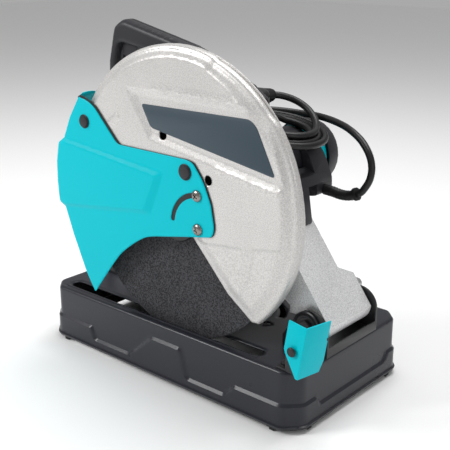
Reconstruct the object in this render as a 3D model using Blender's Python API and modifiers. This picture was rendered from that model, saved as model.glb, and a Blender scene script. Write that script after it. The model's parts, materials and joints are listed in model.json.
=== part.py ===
"""Abrasive chop saw, 355 mm wheel, locked down for transport.

Run with: blender --background --python part.py
Metres, +Z up, standing on its feet at Z = 0. X runs along the base: the operator and the
handle are at -X, the arm's pivot at +X. Y runs along the spindle: the wheel guard is at -Y,
the motor at +Y. Every named object in the collection is one physical piece.
"""

import math

import bmesh
import bpy
from mathutils import Euler, Matrix, Vector

# ---- driving dimensions, in metres ----
GAP = 0.0003              # clearance between pieces that touch
CENTRE_X, CENTRE_Y = -0.0166, -0.0003   # middle of the whole footprint, from the middle of the base

FOOT = 0.006              # height that the rubber feet lift the pan
DECK = 0.087              # top face of the base pan
BASE_X, BASE_Y = 0.239, 0.1292         # half length and half width of the pan's upper walls
BASE_CORNER = 0.020       # chamfer on the pan's vertical corners
SKIRT = 0.0028            # how far the pressed lower skirt stands proud
LIP = 0.0055              # how far the rolled bottom edge stands out
SKIRT_HIGH, SKIRT_LOW, SKIRT_PEAK = 0.040, 0.0215, 0.063   # heights of the skirt's stepped upper edge
SHEET = 0.0025            # pan sheet thickness
SLOT_NEAR, SLOT_FAR = -0.1123, -0.0925  # the wheel slot's edges in Y
SLOT_FRONT, SLOT_REAR = -0.214, 0.168

PIVOT_X, PIVOT_Z = 0.208, 0.125       # axis that the arm swings on
EAR_X, EAR_Z, EAR_RADIUS = 0.2125, 0.1185, 0.0280      # round top of the pivot bracket's ears
BRACKET_NEAR, BRACKET_FAR, BRACKET_FRONT = -0.062, 0.058, 0.168   # outer faces of its ears, its front end
BRACKET_SHEET = 0.0040
REAR_WALL_TOP = 0.1010    # the bracket's rear wall is lower than its ears
LOCK_X, LOCK_Z, LOCK_RADIUS = 0.190, 0.136, 0.004     # lock pin beside the pivot
STOP_X = 0.1745           # bolt under the arm
ARM_NEAR, ARM_FAR, ARM_WIDE = -0.050, 0.025, 0.050   # the arm channel's side faces in Y
ARM_BOSS = 0.0270         # radius of the arm's end around the pivot

SPINDLE_X, SPINDLE_Z = 0.016, 0.247
SPINDLE_RADIUS = 0.0125
WHEEL_RADIUS, WHEEL_NEAR, WHEEL_FAR = 0.1775, -0.1035, -0.1005
MOTOR_X, MOTOR_Z = 0.069, 0.303
MOTOR_RADIUS = 0.0445
MOTOR_BORE = 0.0424       # inside radius of the motor housing and its band
GEAR_TEETH, PINION_TEETH = 45, 8
GEAR_TIP, PINION_TIP = 0.0669, 0.0131
GEAR_TOOTH, PINION_TOOTH = 0.0038, 0.0038     # tooth depth
MESH_ANGLE = math.degrees(math.atan2(MOTOR_Z - SPINDLE_Z, MOTOR_X - SPINDLE_X))
GEAR_NEAR, GEAR_FAR = -0.044, -0.018
CASE_FAR = 0.0            # the gear case's motor face in Y
CASE_RADIUS = 0.072       # gear case around the spindle

GUARD_X, GUARD_Z = 0.0285, 0.2772      # centre of the guard cover's round outline
GUARD_RADIUS = 0.2011
SHELL_X, SHELL_Z = 0.022, 0.262        # centre of the deeper back shell, which is smaller than the cover
SHELL_RADIUS = 0.190
RIM_START = 165            # where the guard rim ends over the wheel, degrees from +X
ARBOR_RADIUS = 0.0430     # opening of the guard cover round the wheel bolt
GUARD_BACK, GUARD_RIM, GUARD_FACE = -0.0780, -0.1165, -0.1215   # Y of back plate, rim, raised face
COVER_BACK, FLANGE_BACK = -0.1062, -0.1042      # Y of the cover's edge and of the flange that it sits on
SCREW_X, SCREW_Z = 0.0739, 0.2438      # pivot screw of the front guard
CLAMP_ARM = 0.0456        # distance from the pivot screw to the clamp screw
FRONT_FACE, FRONT_BACK = -0.1255, -0.0850   # near face and back edge of the front guard
FRONT_SHEET = 0.0018

HANDLE_Y, HANDLE_HALF = -0.057, 0.014  # split plane and half thickness of the handle
LOCK_BUTTON = (-0.0720, 0.4670)        # lock-on button, in X and Z
SPINDLE_LOCK = (-0.030, 0.262)         # spindle lock button, in X and Z
FENCE_X, FENCE_NEAR, FENCE_REACH = 0.030, -0.086, 0.108
VISE_Y, VISE_Z = 0.020, 0.117
JAW_X, CRANK_X = -0.040, -0.2700        # front faces of the vise jaw and of its crank
DEFLECTOR = Vector((0.2450, -0.1325, 0.0875))   # lower end of the spark deflector's fold
DEFLECTOR_TURN = Euler((math.radians(-5.5), math.radians(6.0), math.radians(-4.2)))
DEFLECTOR_SIZE = (0.028, 0.0475, 0.070)          # near leg, rear leg, height
DEFLECTOR_BOLT = (-0.0135, 0.033)               # bolt hole in the near leg, from the fold's end

CORD_RADIUS = 0.005
COIL_X, COIL_Y, COIL_Z = 0.0813, 0.039, 0.3469  # middle of the coil's lower face
COIL_TILT = math.radians(12)
COIL_INNER, COIL_OUTER, COIL_HEIGHT = 0.0368, 0.0674, 0.0190
COIL_PLACE = Matrix.Translation((COIL_X, COIL_Y, COIL_Z)) @ Matrix.Rotation(COIL_TILT, 4, "Y")
# The plug lies on the coil's left side, its pins towards -Y.
PLUG_PLACE = (Matrix.Translation((-0.0500, 0.0120, COIL_HEIGHT + 0.0155))
              @ Matrix.Rotation(math.pi / 2, 4, "X"))
# The free stretch of cord, from the strain relief's tip to where it joins the coil.
CORD_ROUTE = (
    (0.1969, 0.0650, 0.2745), (0.2008, 0.0652, 0.2768), (0.2058, 0.0660, 0.2838), (0.2112, 0.0678, 0.2952),
    (0.2124, 0.0700, 0.3092), (0.2082, 0.0730, 0.3220), (0.1995, 0.0770, 0.3330),
    (0.1858, 0.0830, 0.3430), (0.1669, 0.0910, 0.3506), (0.1440, 0.1015, 0.3552),
    (0.1138, 0.1125, 0.3580), (0.0870, 0.1165, 0.3596), (0.0620, 0.1145, 0.3602),
    (0.0400, 0.1045, 0.3622), (0.0225, 0.0880, 0.3645), (0.0112, 0.0675, 0.3665),
    (0.0075, 0.0450, 0.3678), (0.0090, 0.0235, 0.3676),
)
RELIEF_ROUTE = (
    (0.1418, 0.0650, 0.2700), (0.1540, 0.0650, 0.2693), (0.1695, 0.0650, 0.2675),
    (0.1830, 0.0650, 0.2688), (0.1950, 0.0650, 0.2736),
)

COLOURS = {  # base colour, roughness, metallic
    "base_paint": ((0.055, 0.055, 0.062), 0.45, 0.0),
    "silver_paint": ((0.60, 0.59, 0.57), 0.42, 0.3),
    "teal_paint": ((0.0, 0.62, 0.68), 0.38, 0.0),
    "slate": ((0.065, 0.095, 0.12), 0.5, 0.0),
    "black_plastic": ((0.035, 0.035, 0.038), 0.5, 0.0),
    "steel": ((0.55, 0.55, 0.56), 0.3, 1.0),
    "black_steel": ((0.03, 0.03, 0.032), 0.4, 0.6),
    "abrasive": ((0.05, 0.05, 0.055), 0.9, 0.0),
    "rubber": ((0.02, 0.02, 0.021), 0.7, 0.0),
    "copper": ((0.75, 0.36, 0.18), 0.35, 1.0),
    "laminations": ((0.28, 0.28, 0.30), 0.5, 0.9),
}


# ---- scene and helpers ----
def clear_scene():
    for obj in list(bpy.data.objects):
        bpy.data.objects.remove(obj, do_unlink=True)


def new_collection(name):
    collection = bpy.data.collections.new(name)
    bpy.context.scene.collection.children.link(collection)
    return collection


def material(name):
    colour, roughness, metallic = COLOURS[name]
    made = bpy.data.materials.new(name)
    made.use_nodes = True
    shader = made.node_tree.nodes["Principled BSDF"]
    shader.inputs["Base Color"].default_value = (*colour, 1.0)
    shader.inputs["Roughness"].default_value = roughness
    shader.inputs["Metallic"].default_value = metallic
    return made


def link(name, mesh, finish, parent=None):
    """Puts a mesh in the parts collection under its own copy of a finish."""
    obj = bpy.data.objects.new(name, mesh)
    PARTS.objects.link(obj)
    mesh.materials.clear()
    mesh.materials.append(material(finish))
    if parent:
        obj.parent = parent
        obj.matrix_parent_inverse = Matrix.Translation(-parent.location)
    return obj


def guide(mesh):
    """A cutter or a shape that is joined to a piece: wire only, never a piece of its own."""
    obj = bpy.data.objects.new("guide", mesh)
    CUTTERS.objects.link(obj)
    obj.hide_render = True
    obj.display_type = "WIRE"
    return obj


def combine(obj, mesh, operation):
    modifier = obj.modifiers.new(operation.lower(), "BOOLEAN")
    modifier.operation = operation
    modifier.solver = "EXACT"
    modifier.object = guide(mesh)
    if obj.parent:
        modifier.object.parent = obj.parent
        modifier.object.matrix_parent_inverse = obj.matrix_parent_inverse.copy()


def cut(obj, *meshes):
    for mesh in meshes:
        combine(obj, mesh, "DIFFERENCE")


def join(obj, *meshes):
    for mesh in meshes:
        combine(obj, mesh, "UNION")


def soften(obj, width, segments=1, angle=40):
    modifier = obj.modifiers.new("bevel", "BEVEL")
    modifier.width = width
    modifier.segments = segments
    modifier.limit_method = "ANGLE"
    modifier.angle_limit = math.radians(angle)
    return obj


def joint_empty(name, x, y, z, parent=None):
    """An empty on a joint's axis; the pieces that the joint moves are its children."""
    empty = bpy.data.objects.new(name, None)
    empty.location = (x, y, z)
    empty.empty_display_size = 0.02
    PARTS.objects.link(empty)
    if parent:
        empty.parent = parent
        empty.matrix_parent_inverse = Matrix.Translation(-parent.location)
    return empty


def arc(x, z, radius, start, end, steps):
    """Points on a round stretch, angles in degrees from +X towards +Z."""
    angles = [math.radians(start + (end - start) * i / steps) for i in range(steps + 1)]
    return [(x + radius * math.cos(a), z + radius * math.sin(a)) for a in angles]


def circle(x, z, radius, steps=24):
    return arc(x, z, radius, 0, 360, steps)[:-1]


def rounded(points, radius, steps=3):
    """The closed outline with each corner turned into an arc of about the radius."""
    result = []
    for i, corner in enumerate(points):
        here = Vector(corner)
        before = (Vector(points[i - 1]) - here)
        after = (Vector(points[(i + 1) % len(points)]) - here)
        reach = min(radius, before.length * 0.45, after.length * 0.45)
        start, end = here + before.normalized() * reach, here + after.normalized() * reach
        for k in range(steps + 1):
            t = k / steps
            result.append(tuple(start * (1 - t) ** 2 + here * 2 * t * (1 - t) + end * t ** 2))
    return result


def slot_outline(start, end, radius, steps=6):
    """A straight slot with round ends between two points."""
    run = Vector(end) - Vector(start)
    angle = math.degrees(math.atan2(run.y, run.x))
    return (arc(*start, radius, angle + 90, angle + 270, steps)
            + arc(*end, radius, angle - 90, angle + 90, steps))


def curved_slot(x, z, radius, half_width, start, end, steps=8):
    """A slot along an arc around (x, z), with round ends."""
    first = [x + radius * math.cos(math.radians(start)), z + radius * math.sin(math.radians(start))]
    last = [x + radius * math.cos(math.radians(end)), z + radius * math.sin(math.radians(end))]
    return (arc(x, z, radius + half_width, start, end, steps)
            + arc(*last, half_width, end, end + 180, 4)[1:-1]
            + arc(x, z, radius - half_width, end, start, steps)
            + arc(*first, half_width, start + 180, start + 360, 4)[1:-1])


AXIS_TURN = {
    "Z": Matrix.Identity(4),
    "Y": Matrix.Rotation(math.pi / 2, 4, "X"),
    "X": Matrix.Rotation(math.pi / 2, 4, "Z") @ Matrix.Rotation(math.pi / 2, 4, "X"),
}


def evaluated_mesh(curve):
    """The closed mesh of a curve, with its caps welded; the curve itself is removed."""
    obj = bpy.data.objects.new("curve", curve)
    bpy.context.scene.collection.objects.link(obj)
    bpy.context.view_layer.update()
    mesh = bpy.data.meshes.new_from_object(obj.evaluated_get(bpy.context.evaluated_depsgraph_get()))
    bpy.data.objects.remove(obj)
    bpy.data.curves.remove(curve)
    bm = bmesh.new()
    bm.from_mesh(mesh)
    bmesh.ops.remove_doubles(bm, verts=bm.verts, dist=0.000005)
    bm.to_mesh(mesh)
    bm.free()
    return mesh


def prism(outline, low, high, axis="Y", holes=()):
    """A flat outline given thickness from low to high along an axis. The outline is in
    (X, Z) for Y, (X, Y) for Z and (Y, Z) for X."""
    curve = bpy.data.curves.new("outline", "CURVE")
    curve.dimensions = "2D"
    curve.fill_mode = "BOTH"
    curve.extrude = (high - low) / 2
    for loop in (outline, *holes):
        spline = curve.splines.new("POLY")
        spline.points.add(len(loop) - 1)
        for point, (u, v) in zip(spline.points, loop):
            point.co = (u, v, 0, 1)
        spline.use_cyclic_u = True
    mesh = evaluated_mesh(curve)
    middle = (low + high) / 2
    shift = {"X": (middle, 0, 0), "Y": (0, middle, 0), "Z": (0, 0, middle)}[axis]
    mesh.transform(Matrix.Translation(shift) @ AXIS_TURN[axis])
    return mesh


def box(low, high):
    """A block between two corners."""
    mesh = bpy.data.meshes.new("block")
    bm = bmesh.new()
    bmesh.ops.create_cube(bm, size=1)
    size = Vector(high) - Vector(low)
    bmesh.ops.scale(bm, vec=size, verts=bm.verts)
    bmesh.ops.translate(bm, vec=Vector(low) + size / 2, verts=bm.verts)
    bm.to_mesh(mesh)
    bm.free()
    return mesh


def rod(radius, low, high, u, v, axis="Y", segments=20, far_radius=None):
    """A solid cylinder or cone along an axis through (u, v)."""
    mesh = bpy.data.meshes.new("rod")
    bm = bmesh.new()
    far_radius = radius if far_radius is None else far_radius
    bmesh.ops.create_cone(bm, cap_ends=True, segments=segments, radius1=radius,
                          radius2=far_radius, depth=high - low)
    bm.to_mesh(mesh)
    bm.free()
    middle = (low + high) / 2
    # the cone grows along +Z; for Y it is turned so that it grows along +Y
    turn = Matrix.Rotation(-math.pi / 2, 4, "X") if axis == "Y" else AXIS_TURN[axis]
    if axis == "X":
        turn = Matrix.Rotation(math.pi / 2, 4, "Y")
    place = {"X": (middle, u, v), "Y": (u, middle, v), "Z": (u, v, middle)}[axis]
    mesh.transform(Matrix.Translation(place) @ turn)
    return mesh


def ring(outer, inner, low, high, u, v, axis="Y", segments=28):
    return prism(circle(u, v, outer, segments), low, high, axis, [circle(u, v, inner, segments)])


def turned(name, profile, x, z, finish, parent, steps=32):
    """A turned piece around a line along Y. The profile is (radius, y) and starts and ends on it."""
    mesh = bpy.data.meshes.new(name)
    bm = bmesh.new()
    corners = [bm.verts.new((radius, 0, y)) for radius, y in profile]
    for before, after in zip(corners, corners[1:]):
        bm.edges.new((before, after))
    bm.to_mesh(mesh)
    bm.free()
    obj = link(name, mesh, finish, parent)
    screw = obj.modifiers.new("turn", "SCREW")
    screw.axis = "Z"
    screw.steps = screw.render_steps = steps
    screw.use_merge_vertices = True
    screw.merge_threshold = 0.00001
    obj.location = (x, 0, z)
    obj.rotation_euler = (-math.pi / 2, 0, 0)
    return obj


def tube(points, radius, radii=None, resolution=2):
    """A solid tube along points; radii scale the tube at each point."""
    curve = bpy.data.curves.new("tube", "CURVE")
    curve.dimensions = "3D"
    curve.bevel_depth = radius
    curve.bevel_resolution = resolution
    curve.use_fill_caps = True
    spline = curve.splines.new("POLY")
    spline.points.add(len(points) - 1)
    for i, point in enumerate(points):
        spline.points[i].co = (*point, 1)
        spline.points[i].radius = radii[i] if radii else 1
    return evaluated_mesh(curve)


def smooth_route(points, spacing):
    """Evenly spaced points on a smooth curve through the given points."""
    points = [Vector(p) for p in points]
    ends = [points[0] * 2 - points[1]] + points + [points[-1] * 2 - points[-2]]
    fine = []
    for i in range(1, len(ends) - 2):
        a, b, c, d = ends[i - 1:i + 3]
        for k in range(20):
            t = k / 20
            fine.append(((b * 2) + (c - a) * t + (a * 2 - b * 5 + c * 4 - d) * t ** 2
                         + (b * 3 - a - c * 3 + d) * t ** 3) / 2)
    fine.append(points[-1])
    length = sum((q - p).length for p, q in zip(fine, fine[1:]))
    count = max(2, round(length / spacing))
    route, travelled, target = [fine[0]], 0.0, length / count
    for p, q in zip(fine, fine[1:]):
        step = (q - p).length
        while travelled + step >= target - 1e-9 and len(route) < count:
            route.append(p.lerp(q, (target - travelled) / step))
            target += length / count
        travelled += step
    return route + [fine[-1]]


def gear_outline(x, z, tip, depth, teeth, first):
    """A gear seen along its axis, with a tooth centred on the first angle, in degrees."""
    points, root = [], tip - depth
    for i in range(teeth):
        middle = 360 * i / teeth + first
        pitch = 360 / teeth
        for radius, offset in ((root, -0.28), (tip, -0.12), (tip, 0.12), (root, 0.28)):
            angle = math.radians(middle + offset * pitch)
            points.append((x + radius * math.cos(angle), z + radius * math.sin(angle)))
    return points


def octagon(half_x, half_y, corner):
    """A rectangle with chamfered corners, in (X, Y)."""
    return [(half_x, -half_y + corner), (half_x, half_y - corner), (half_x - corner, half_y),
            (-half_x + corner, half_y), (-half_x, half_y - corner), (-half_x, -half_y + corner),
            (-half_x + corner, -half_y), (half_x - corner, -half_y)]


# ---- the base ----
def loft(lower, upper, low, high):
    """A closed body between two outlines with the same number of corners."""
    mesh = bpy.data.meshes.new("loft")
    bm = bmesh.new()
    rows = [[bm.verts.new((x, y, z)) for x, y in outline] for outline, z in ((lower, low), (upper, high))]
    bm.faces.new(reversed(rows[0]))
    bm.faces.new(rows[1])
    for i in range(len(lower)):
        k = (i + 1) % len(lower)
        bm.faces.new((rows[0][i], rows[0][k], rows[1][k], rows[1][i]))
    bm.to_mesh(mesh)
    bm.free()
    return mesh


def skirt_steps():
    """Blocks that shape the skirt's upper edge: the raised middle of each long side, and the
    notches beside it and on the short sides."""
    raised, notches = [], []
    foot_of_peak = SKIRT_HIGH - 0.012
    peak = [(-0.0137, SKIRT_PEAK), (-0.055, foot_of_peak), (0.052, foot_of_peak), (0.0437, SKIRT_PEAK)]
    front = [(-0.1444, 0.050), (-0.137, SKIRT_LOW), (-0.062, SKIRT_LOW), (-0.030, 0.050)]
    rear = [(0.046, 0.050), (0.0545, SKIRT_LOW), (0.124, SKIRT_LOW), (0.158, 0.050)]
    short = [(-0.080, 0.050), (-0.078, 0.028), (0.082, 0.028), (0.096, 0.050)]
    for side in (-1, 1):
        outer, inner = sorted((side * (BASE_Y + SKIRT), side * (BASE_Y - 0.004)))
        raised.append(prism(peak, outer, inner))
        outside, inside = sorted((side * (BASE_Y + 0.01), side * (BASE_Y - 0.001)))
        notches.append(prism(front, outside, inside))
        notches.append(prism(rear, outside, inside))
        outside, inside = sorted((side * (BASE_X + 0.01), side * (BASE_X - 0.001)))
        notches.append(prism(short, outside, inside, "X"))
    return raised, notches


def base_pan():
    """The pressed pan: plain upper walls, a stepped skirt, a rolled lip, open underneath."""
    skirt = octagon(BASE_X + SKIRT, BASE_Y + SKIRT, BASE_CORNER)
    pan = link("base_pan", loft(skirt, skirt, FOOT, SKIRT_HIGH), "base_paint")
    raised, notches = skirt_steps()
    cut(pan, *notches)
    join(pan, *raised)
    upper = octagon(BASE_X, BASE_Y, BASE_CORNER)
    top = octagon(BASE_X - 0.0015, BASE_Y - 0.0015, BASE_CORNER)
    join(pan, loft(upper, upper, FOOT, DECK - 0.0015))
    join(pan, loft(upper, top, DECK - 0.0020, DECK))
    lip = octagon(BASE_X + LIP, BASE_Y + LIP, BASE_CORNER)
    join(pan, loft(lip, skirt, FOOT, FOOT + 0.009))
    inner = octagon(BASE_X - SHEET, BASE_Y - SHEET, BASE_CORNER)
    cut(pan, loft(inner, inner, -0.01, DECK - SHEET))
    middle = (SLOT_NEAR + SLOT_FAR) / 2
    half = (SLOT_FAR - SLOT_NEAR) / 2
    through = (DECK - 0.01, DECK + 0.01)
    slot = slot_outline((SLOT_FRONT + half, middle), (SLOT_REAR - half, middle), half)
    cut(pan, prism(slot, *through, "Z"))
    cut(pan, prism(slot_outline((-0.215, -0.1185), (0.168, -0.1185), 0.0011, 3),
                   DECK - 0.0010, DECK + 0.01, "Z"))
    cut(pan, prism(slot_outline((0.1115, -0.030), (0.1140, -0.022), 0.0045), *through, "Z"))
    cut(pan, prism(curved_slot(*FENCE_PIVOT, FENCE_ARC, 0.0045, 20, 75), *through, "Z"))
    cut(pan, rod(0.0045, *through, *FENCE_PIVOT, "Z", 12))
    for x, y in DECK_BOLTS:
        cut(pan, rod(0.0043, *through, x, y, "Z", 12))


FENCE_PIVOT = (0.052, -0.020)
FENCE_ARC = 0.068
DECK_BOLTS = ((0.182, -0.035), (0.182, 0.035), (-0.195, -0.010), (-0.195, 0.050), (0.2125, -0.1130),
              (0.1745, 0.0))


def feet():
    """A rubber pad inside each corner of the pan, relieved under the chamfer."""
    x, y, corner = BASE_X - SHEET - GAP, BASE_Y - SHEET - GAP, BASE_CORNER
    wide, arm, out = 0.015, 0.043, SHEET + 0.0020
    inner = corner + 0.007
    corners = {"front_near": (-1, -1), "front_far": (-1, 1), "rear_near": (1, -1), "rear_far": (1, 1)}
    for name, (sx, sy) in corners.items():
        pad = [(x - arm, y), (x - corner, y), (x, y - corner), (x, y - arm), (x - wide, y - arm),
               (x - wide, y - inner), (x - inner, y - wide), (x - arm, y - wide)]
        outline = [(sx * u, sy * v) for u, v in pad]
        foot = link("foot_" + name, prism(outline, 0, FOOT + 0.012, "Z"), "rubber")
        start = x - arm + 0.008
        stub = [(start, y - wide), (x - inner, y - wide), (x - corner, y + out), (start, y + out)]
        for points in (stub, [(x - (y - v), y - (x - u)) for u, v in stub]):
            join(foot, prism([(sx * u, sy * v) for u, v in points], 0, FOOT - GAP, "Z"))
        near_edge, deep = corner + 0.001, corner + 0.022
        relief = [(x - near_edge, y + 0.01), (x + 0.01, y - near_edge), (x - 0.012, y - deep),
                  (x - deep, y - 0.012)]
        cut(foot, prism([(sx * u, sy * v) for u, v in relief], -0.005, FOOT - 0.0005, "Z"))


def pivot_bracket():
    """The black U bracket that carries the arm: two round ears, a rear wall and a floor."""
    near, far = BRACKET_NEAR, BRACKET_FAR
    rear = EAR_X + EAR_RADIUS
    ear = ([(BRACKET_FRONT, DECK + GAP), (rear, DECK + GAP)] + arc(EAR_X, EAR_Z, EAR_RADIUS, 0, 150, 12)
           + [(BRACKET_FRONT, DECK + 0.014)])
    bracket = link("pivot_bracket", prism(ear, near, far), "black_steel")
    floor, wall = DECK + BRACKET_SHEET + GAP, rear - 0.0022
    inside = [(0.10, floor), (wall, floor), (wall, REAR_WALL_TOP), (rear + 0.01, REAR_WALL_TOP),
              (rear + 0.01, 0.30), (0.10, 0.30)]
    cut(bracket, prism(inside, near + BRACKET_SHEET, far - BRACKET_SHEET))
    join(bracket, rod(0.0095, far - BRACKET_SHEET + 0.0005, far - 0.0005, LOCK_X, LOCK_Z))
    cut(bracket, rod(0.0063, near - 0.01, far + 0.01, PIVOT_X, PIVOT_Z))
    cut(bracket, rod(LOCK_RADIUS + GAP, far - 0.01, far + 0.01, LOCK_X, LOCK_Z, segments=12))
    for y in (-0.035, 0.035):
        cut(bracket, rod(0.0043, 0.07, 0.1, 0.182, y, "Z", 12))
    cut(bracket, rod(0.0043, 0.07, 0.1, STOP_X, 0, "Z", 12))
    shaft = link("pivot_shaft", rod(0.006, -0.0665, 0.0625, PIVOT_X, PIVOT_Z), "steel")
    join(shaft, rod(0.0095, -0.0705, -0.0624, PIVOT_X, PIVOT_Z, segments=6))
    hex_bolt("arm_stop_bolt", STOP_X, 0, 0.1225, -0.048)


def hex_bolt(name, x, y, under_head, reach, parent=None, radius=0.004):
    """A bolt that points down from the height under its head."""
    bolt = link(name, rod(radius * 1.65, under_head, under_head + 0.0052, x, y, "Z", 6), "steel", parent)
    join(bolt, rod(radius, under_head + reach, under_head + 0.003, x, y, "Z", 10))
    return bolt


def lock_pin(body):
    """The transport pin, drawn out of the arm: pushed in, it holds the arm down."""
    pin = link("lock_pin", rod(LOCK_RADIUS, 0.0525, 0.078, LOCK_X, LOCK_Z, segments=12), "steel", body)
    join(pin, rod(0.0085, 0.072, 0.084, LOCK_X, LOCK_Z, segments=16))


def fence(body):
    """The rear work stop: an angle that swivels on the deck for angled cuts."""
    floor = DECK + GAP
    profile = [(FENCE_X, floor), (FENCE_X + 0.042, floor), (FENCE_X + 0.042, floor + 0.004),
               (FENCE_X + 0.0045, floor + 0.004), (FENCE_X + 0.0045, floor + 0.046), (FENCE_X, floor + 0.046)]
    angle = link("fence", prism(profile, FENCE_NEAR, FENCE_REACH), "black_steel", body)
    cut(angle, rod(0.0045, 0.08, 0.10, *FENCE_PIVOT, "Z", 12))
    for side in (-1, 1):
        y = 0.058 if side > 0 else -0.066
        cut(angle, box((FENCE_X - 0.01, y - 0.0035, floor + 0.015),
                       (FENCE_X + 0.01, y + 0.0035, floor + 0.033)))
    hex_bolt("fence_pivot_bolt", *FENCE_PIVOT, DECK + 0.0046, -0.020)


def vise(slide, screw):
    """The front clamp: a nut bracket on the deck, a screw with a crank, and the jaw it pushes."""
    floor = DECK + GAP
    side = [(-0.038, floor), (0.078, floor), (0.078, floor + 0.004), (0.045, floor + 0.006),
            (0.036, VISE_Z + 0.014), (0.030, VISE_Z + 0.018), (0.010, VISE_Z + 0.018),
            (0.004, VISE_Z + 0.014), (-0.005, floor + 0.006), (-0.038, floor + 0.004)]
    bracket = link("vise_nut_bracket", prism(side, -0.206, -0.184, "X"), "black_steel")
    cut(bracket, rod(0.0083, -0.22, -0.17, VISE_Y, VISE_Z, "X", 16))
    for y in (-0.010, 0.050):
        cut(bracket, rod(0.0043, 0.07, 0.1, -0.195, y, "Z", 12))
    low, high = JAW_X, JAW_X + 0.028
    shape = [(-0.045, floor + 0.0007), (0.085, floor + 0.0007), (0.085, floor + 0.030),
             (0.058, floor + 0.044),
             (-0.018, floor + 0.044), (-0.045, floor + 0.030)]
    jaw = link("vise_jaw", prism(rounded(shape, 0.004, 2), low, high, "X"), "black_steel", slide)
    cut(jaw, box((low - 0.001, -0.040, floor + 0.004), (high - 0.006, VISE_Y - 0.016, floor + 0.036)),
        box((low - 0.001, VISE_Y + 0.016, floor + 0.004), (high - 0.006, 0.080, floor + 0.036)),
        rod(0.0113, low - 0.001, high - 0.008, VISE_Y, VISE_Z, "X", 16))
    threaded = link("vise_screw", rod(0.008, CRANK_X, low + 0.012, VISE_Y, VISE_Z, "X", 16), "steel", screw)
    join(threaded, rod(0.011, low + 0.0115, low + 0.0195, VISE_Y, VISE_Z, "X", 16))
    crank = link("vise_crank", rod(0.0125, CRANK_X - 0.001, CRANK_X + 0.009, VISE_Y, VISE_Z, "X", 16),
                 "black_steel", screw)
    join(crank, box((CRANK_X + 0.0005, VISE_Y - 0.008, VISE_Z + 0.004),
                    (CRANK_X + 0.0075, VISE_Y + 0.008, VISE_Z + 0.047)),
         rod(0.0075, CRANK_X - 0.020, CRANK_X + 0.006, VISE_Y, VISE_Z + 0.0405, "X", 14))
    cut(crank, rod(0.0083, CRANK_X - 0.01, CRANK_X + 0.02, VISE_Y, VISE_Z, "X", 16))


def spark_deflector(body):
    """The folded teal plate behind the wheel, and the post and bolt that hold it."""
    near, rear, height = DEFLECTOR_SIZE
    half = 0.001
    fold = [(half, -half), (half, rear), (-half, rear), (-half, half), (-near, half), (-near, -half)]
    near_corner = [(-near - 0.01, -0.01), (-0.0035, -0.01), (-0.0035, 0.0005), (-near * 0.90, 0.026),
                   (-near, 0.031), (-near - 0.01, 0.031)]
    rear_corner = [(rear - 0.006, -0.01), (rear + 0.01, -0.01), (rear + 0.01, 0.016), (rear + 0.0002, 0.016),
                   (rear - 0.006, 0.0002)]
    bolt_x, bolt_z = DEFLECTOR_BOLT
    plate = prism(fold, 0, height, "Z")
    cutters = [prism(near_corner, -0.01, 0.01), prism(rear_corner, -0.01, 0.01, "X"),
               box((-0.01, rear - 0.002, 0.0425), (0.01, rear + 0.01, 0.047)),
               rod(0.0035, -0.01, 0.01, bolt_x, bolt_z, segments=12)]
    turn = Matrix.Translation(DEFLECTOR) @ DEFLECTOR_TURN.to_matrix().to_4x4()
    for mesh in (plate, *cutters):
        mesh.transform(turn)
    cut(link("spark_deflector", plate, "teal_paint", body), *cutters)
    bolt = rod(0.0065, -0.0062, -half - GAP, bolt_x, bolt_z, segments=16)
    shank = rod(0.0031, -0.005, 0.010, bolt_x, bolt_z, segments=12)
    bolt.transform(turn)
    shank.transform(turn)
    join(link("deflector_bolt", bolt, "black_steel"), shank)
    centre = turn @ Vector((bolt_x, 0, bolt_z))
    outer = DEFLECTOR.y + 0.0078
    upright = rounded([(0.2200, DECK + GAP), (0.2350, DECK + GAP), (0.2400, DECK + 0.012), (0.2400, 0.133),
                       (0.2200, 0.133)], 0.003, 2)
    post = link("deflector_post", prism(upright, outer, outer + 0.003), "black_steel")
    join(post, box((0.2050, outer + 0.0005, DECK + GAP), (0.2300, outer + 0.020, DECK + 0.0033)))
    cut(post, rod(0.0046, outer - 0.01, outer + 0.01, centre.x, centre.z, segments=12),
        rod(0.0043, 0.07, 0.1, *DECK_BOLTS[4], "Z", 12))


# ---- the arm ----
def case_outline(grow=0.0):
    """The gear case seen along the spindle: round the big gear and round the motor's nose."""
    return (arc(SPINDLE_X, SPINDLE_Z, CASE_RADIUS + grow, 120, 335, 18)
            + arc(MOTOR_X, MOTOR_Z, MOTOR_RADIUS + 0.0003 + grow, -30, 115, 10))


# The arm's upper web is flat between these two points, in (X, Z); its inner side runs parallel.
WEB_TOP, WEB_END = (0.1363, 0.2560), (0.2350, 0.1243)
FLARE_START = (0.1945, 0.1784)         # where the arm widens on its far side
WEB_INNER_TOP, WEB_INNER_END = (0.1351, 0.2500), (0.2250, 0.1302)


def arm_outline():
    return ([WEB_TOP, WEB_END] + arc(PIVOT_X, PIVOT_Z, ARM_BOSS, -5, -150, 12)
            + [(0.1830, 0.1313), (0.1600, 0.1468), (0.0700, 0.2100), (0.0800, 0.2560)])


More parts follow.
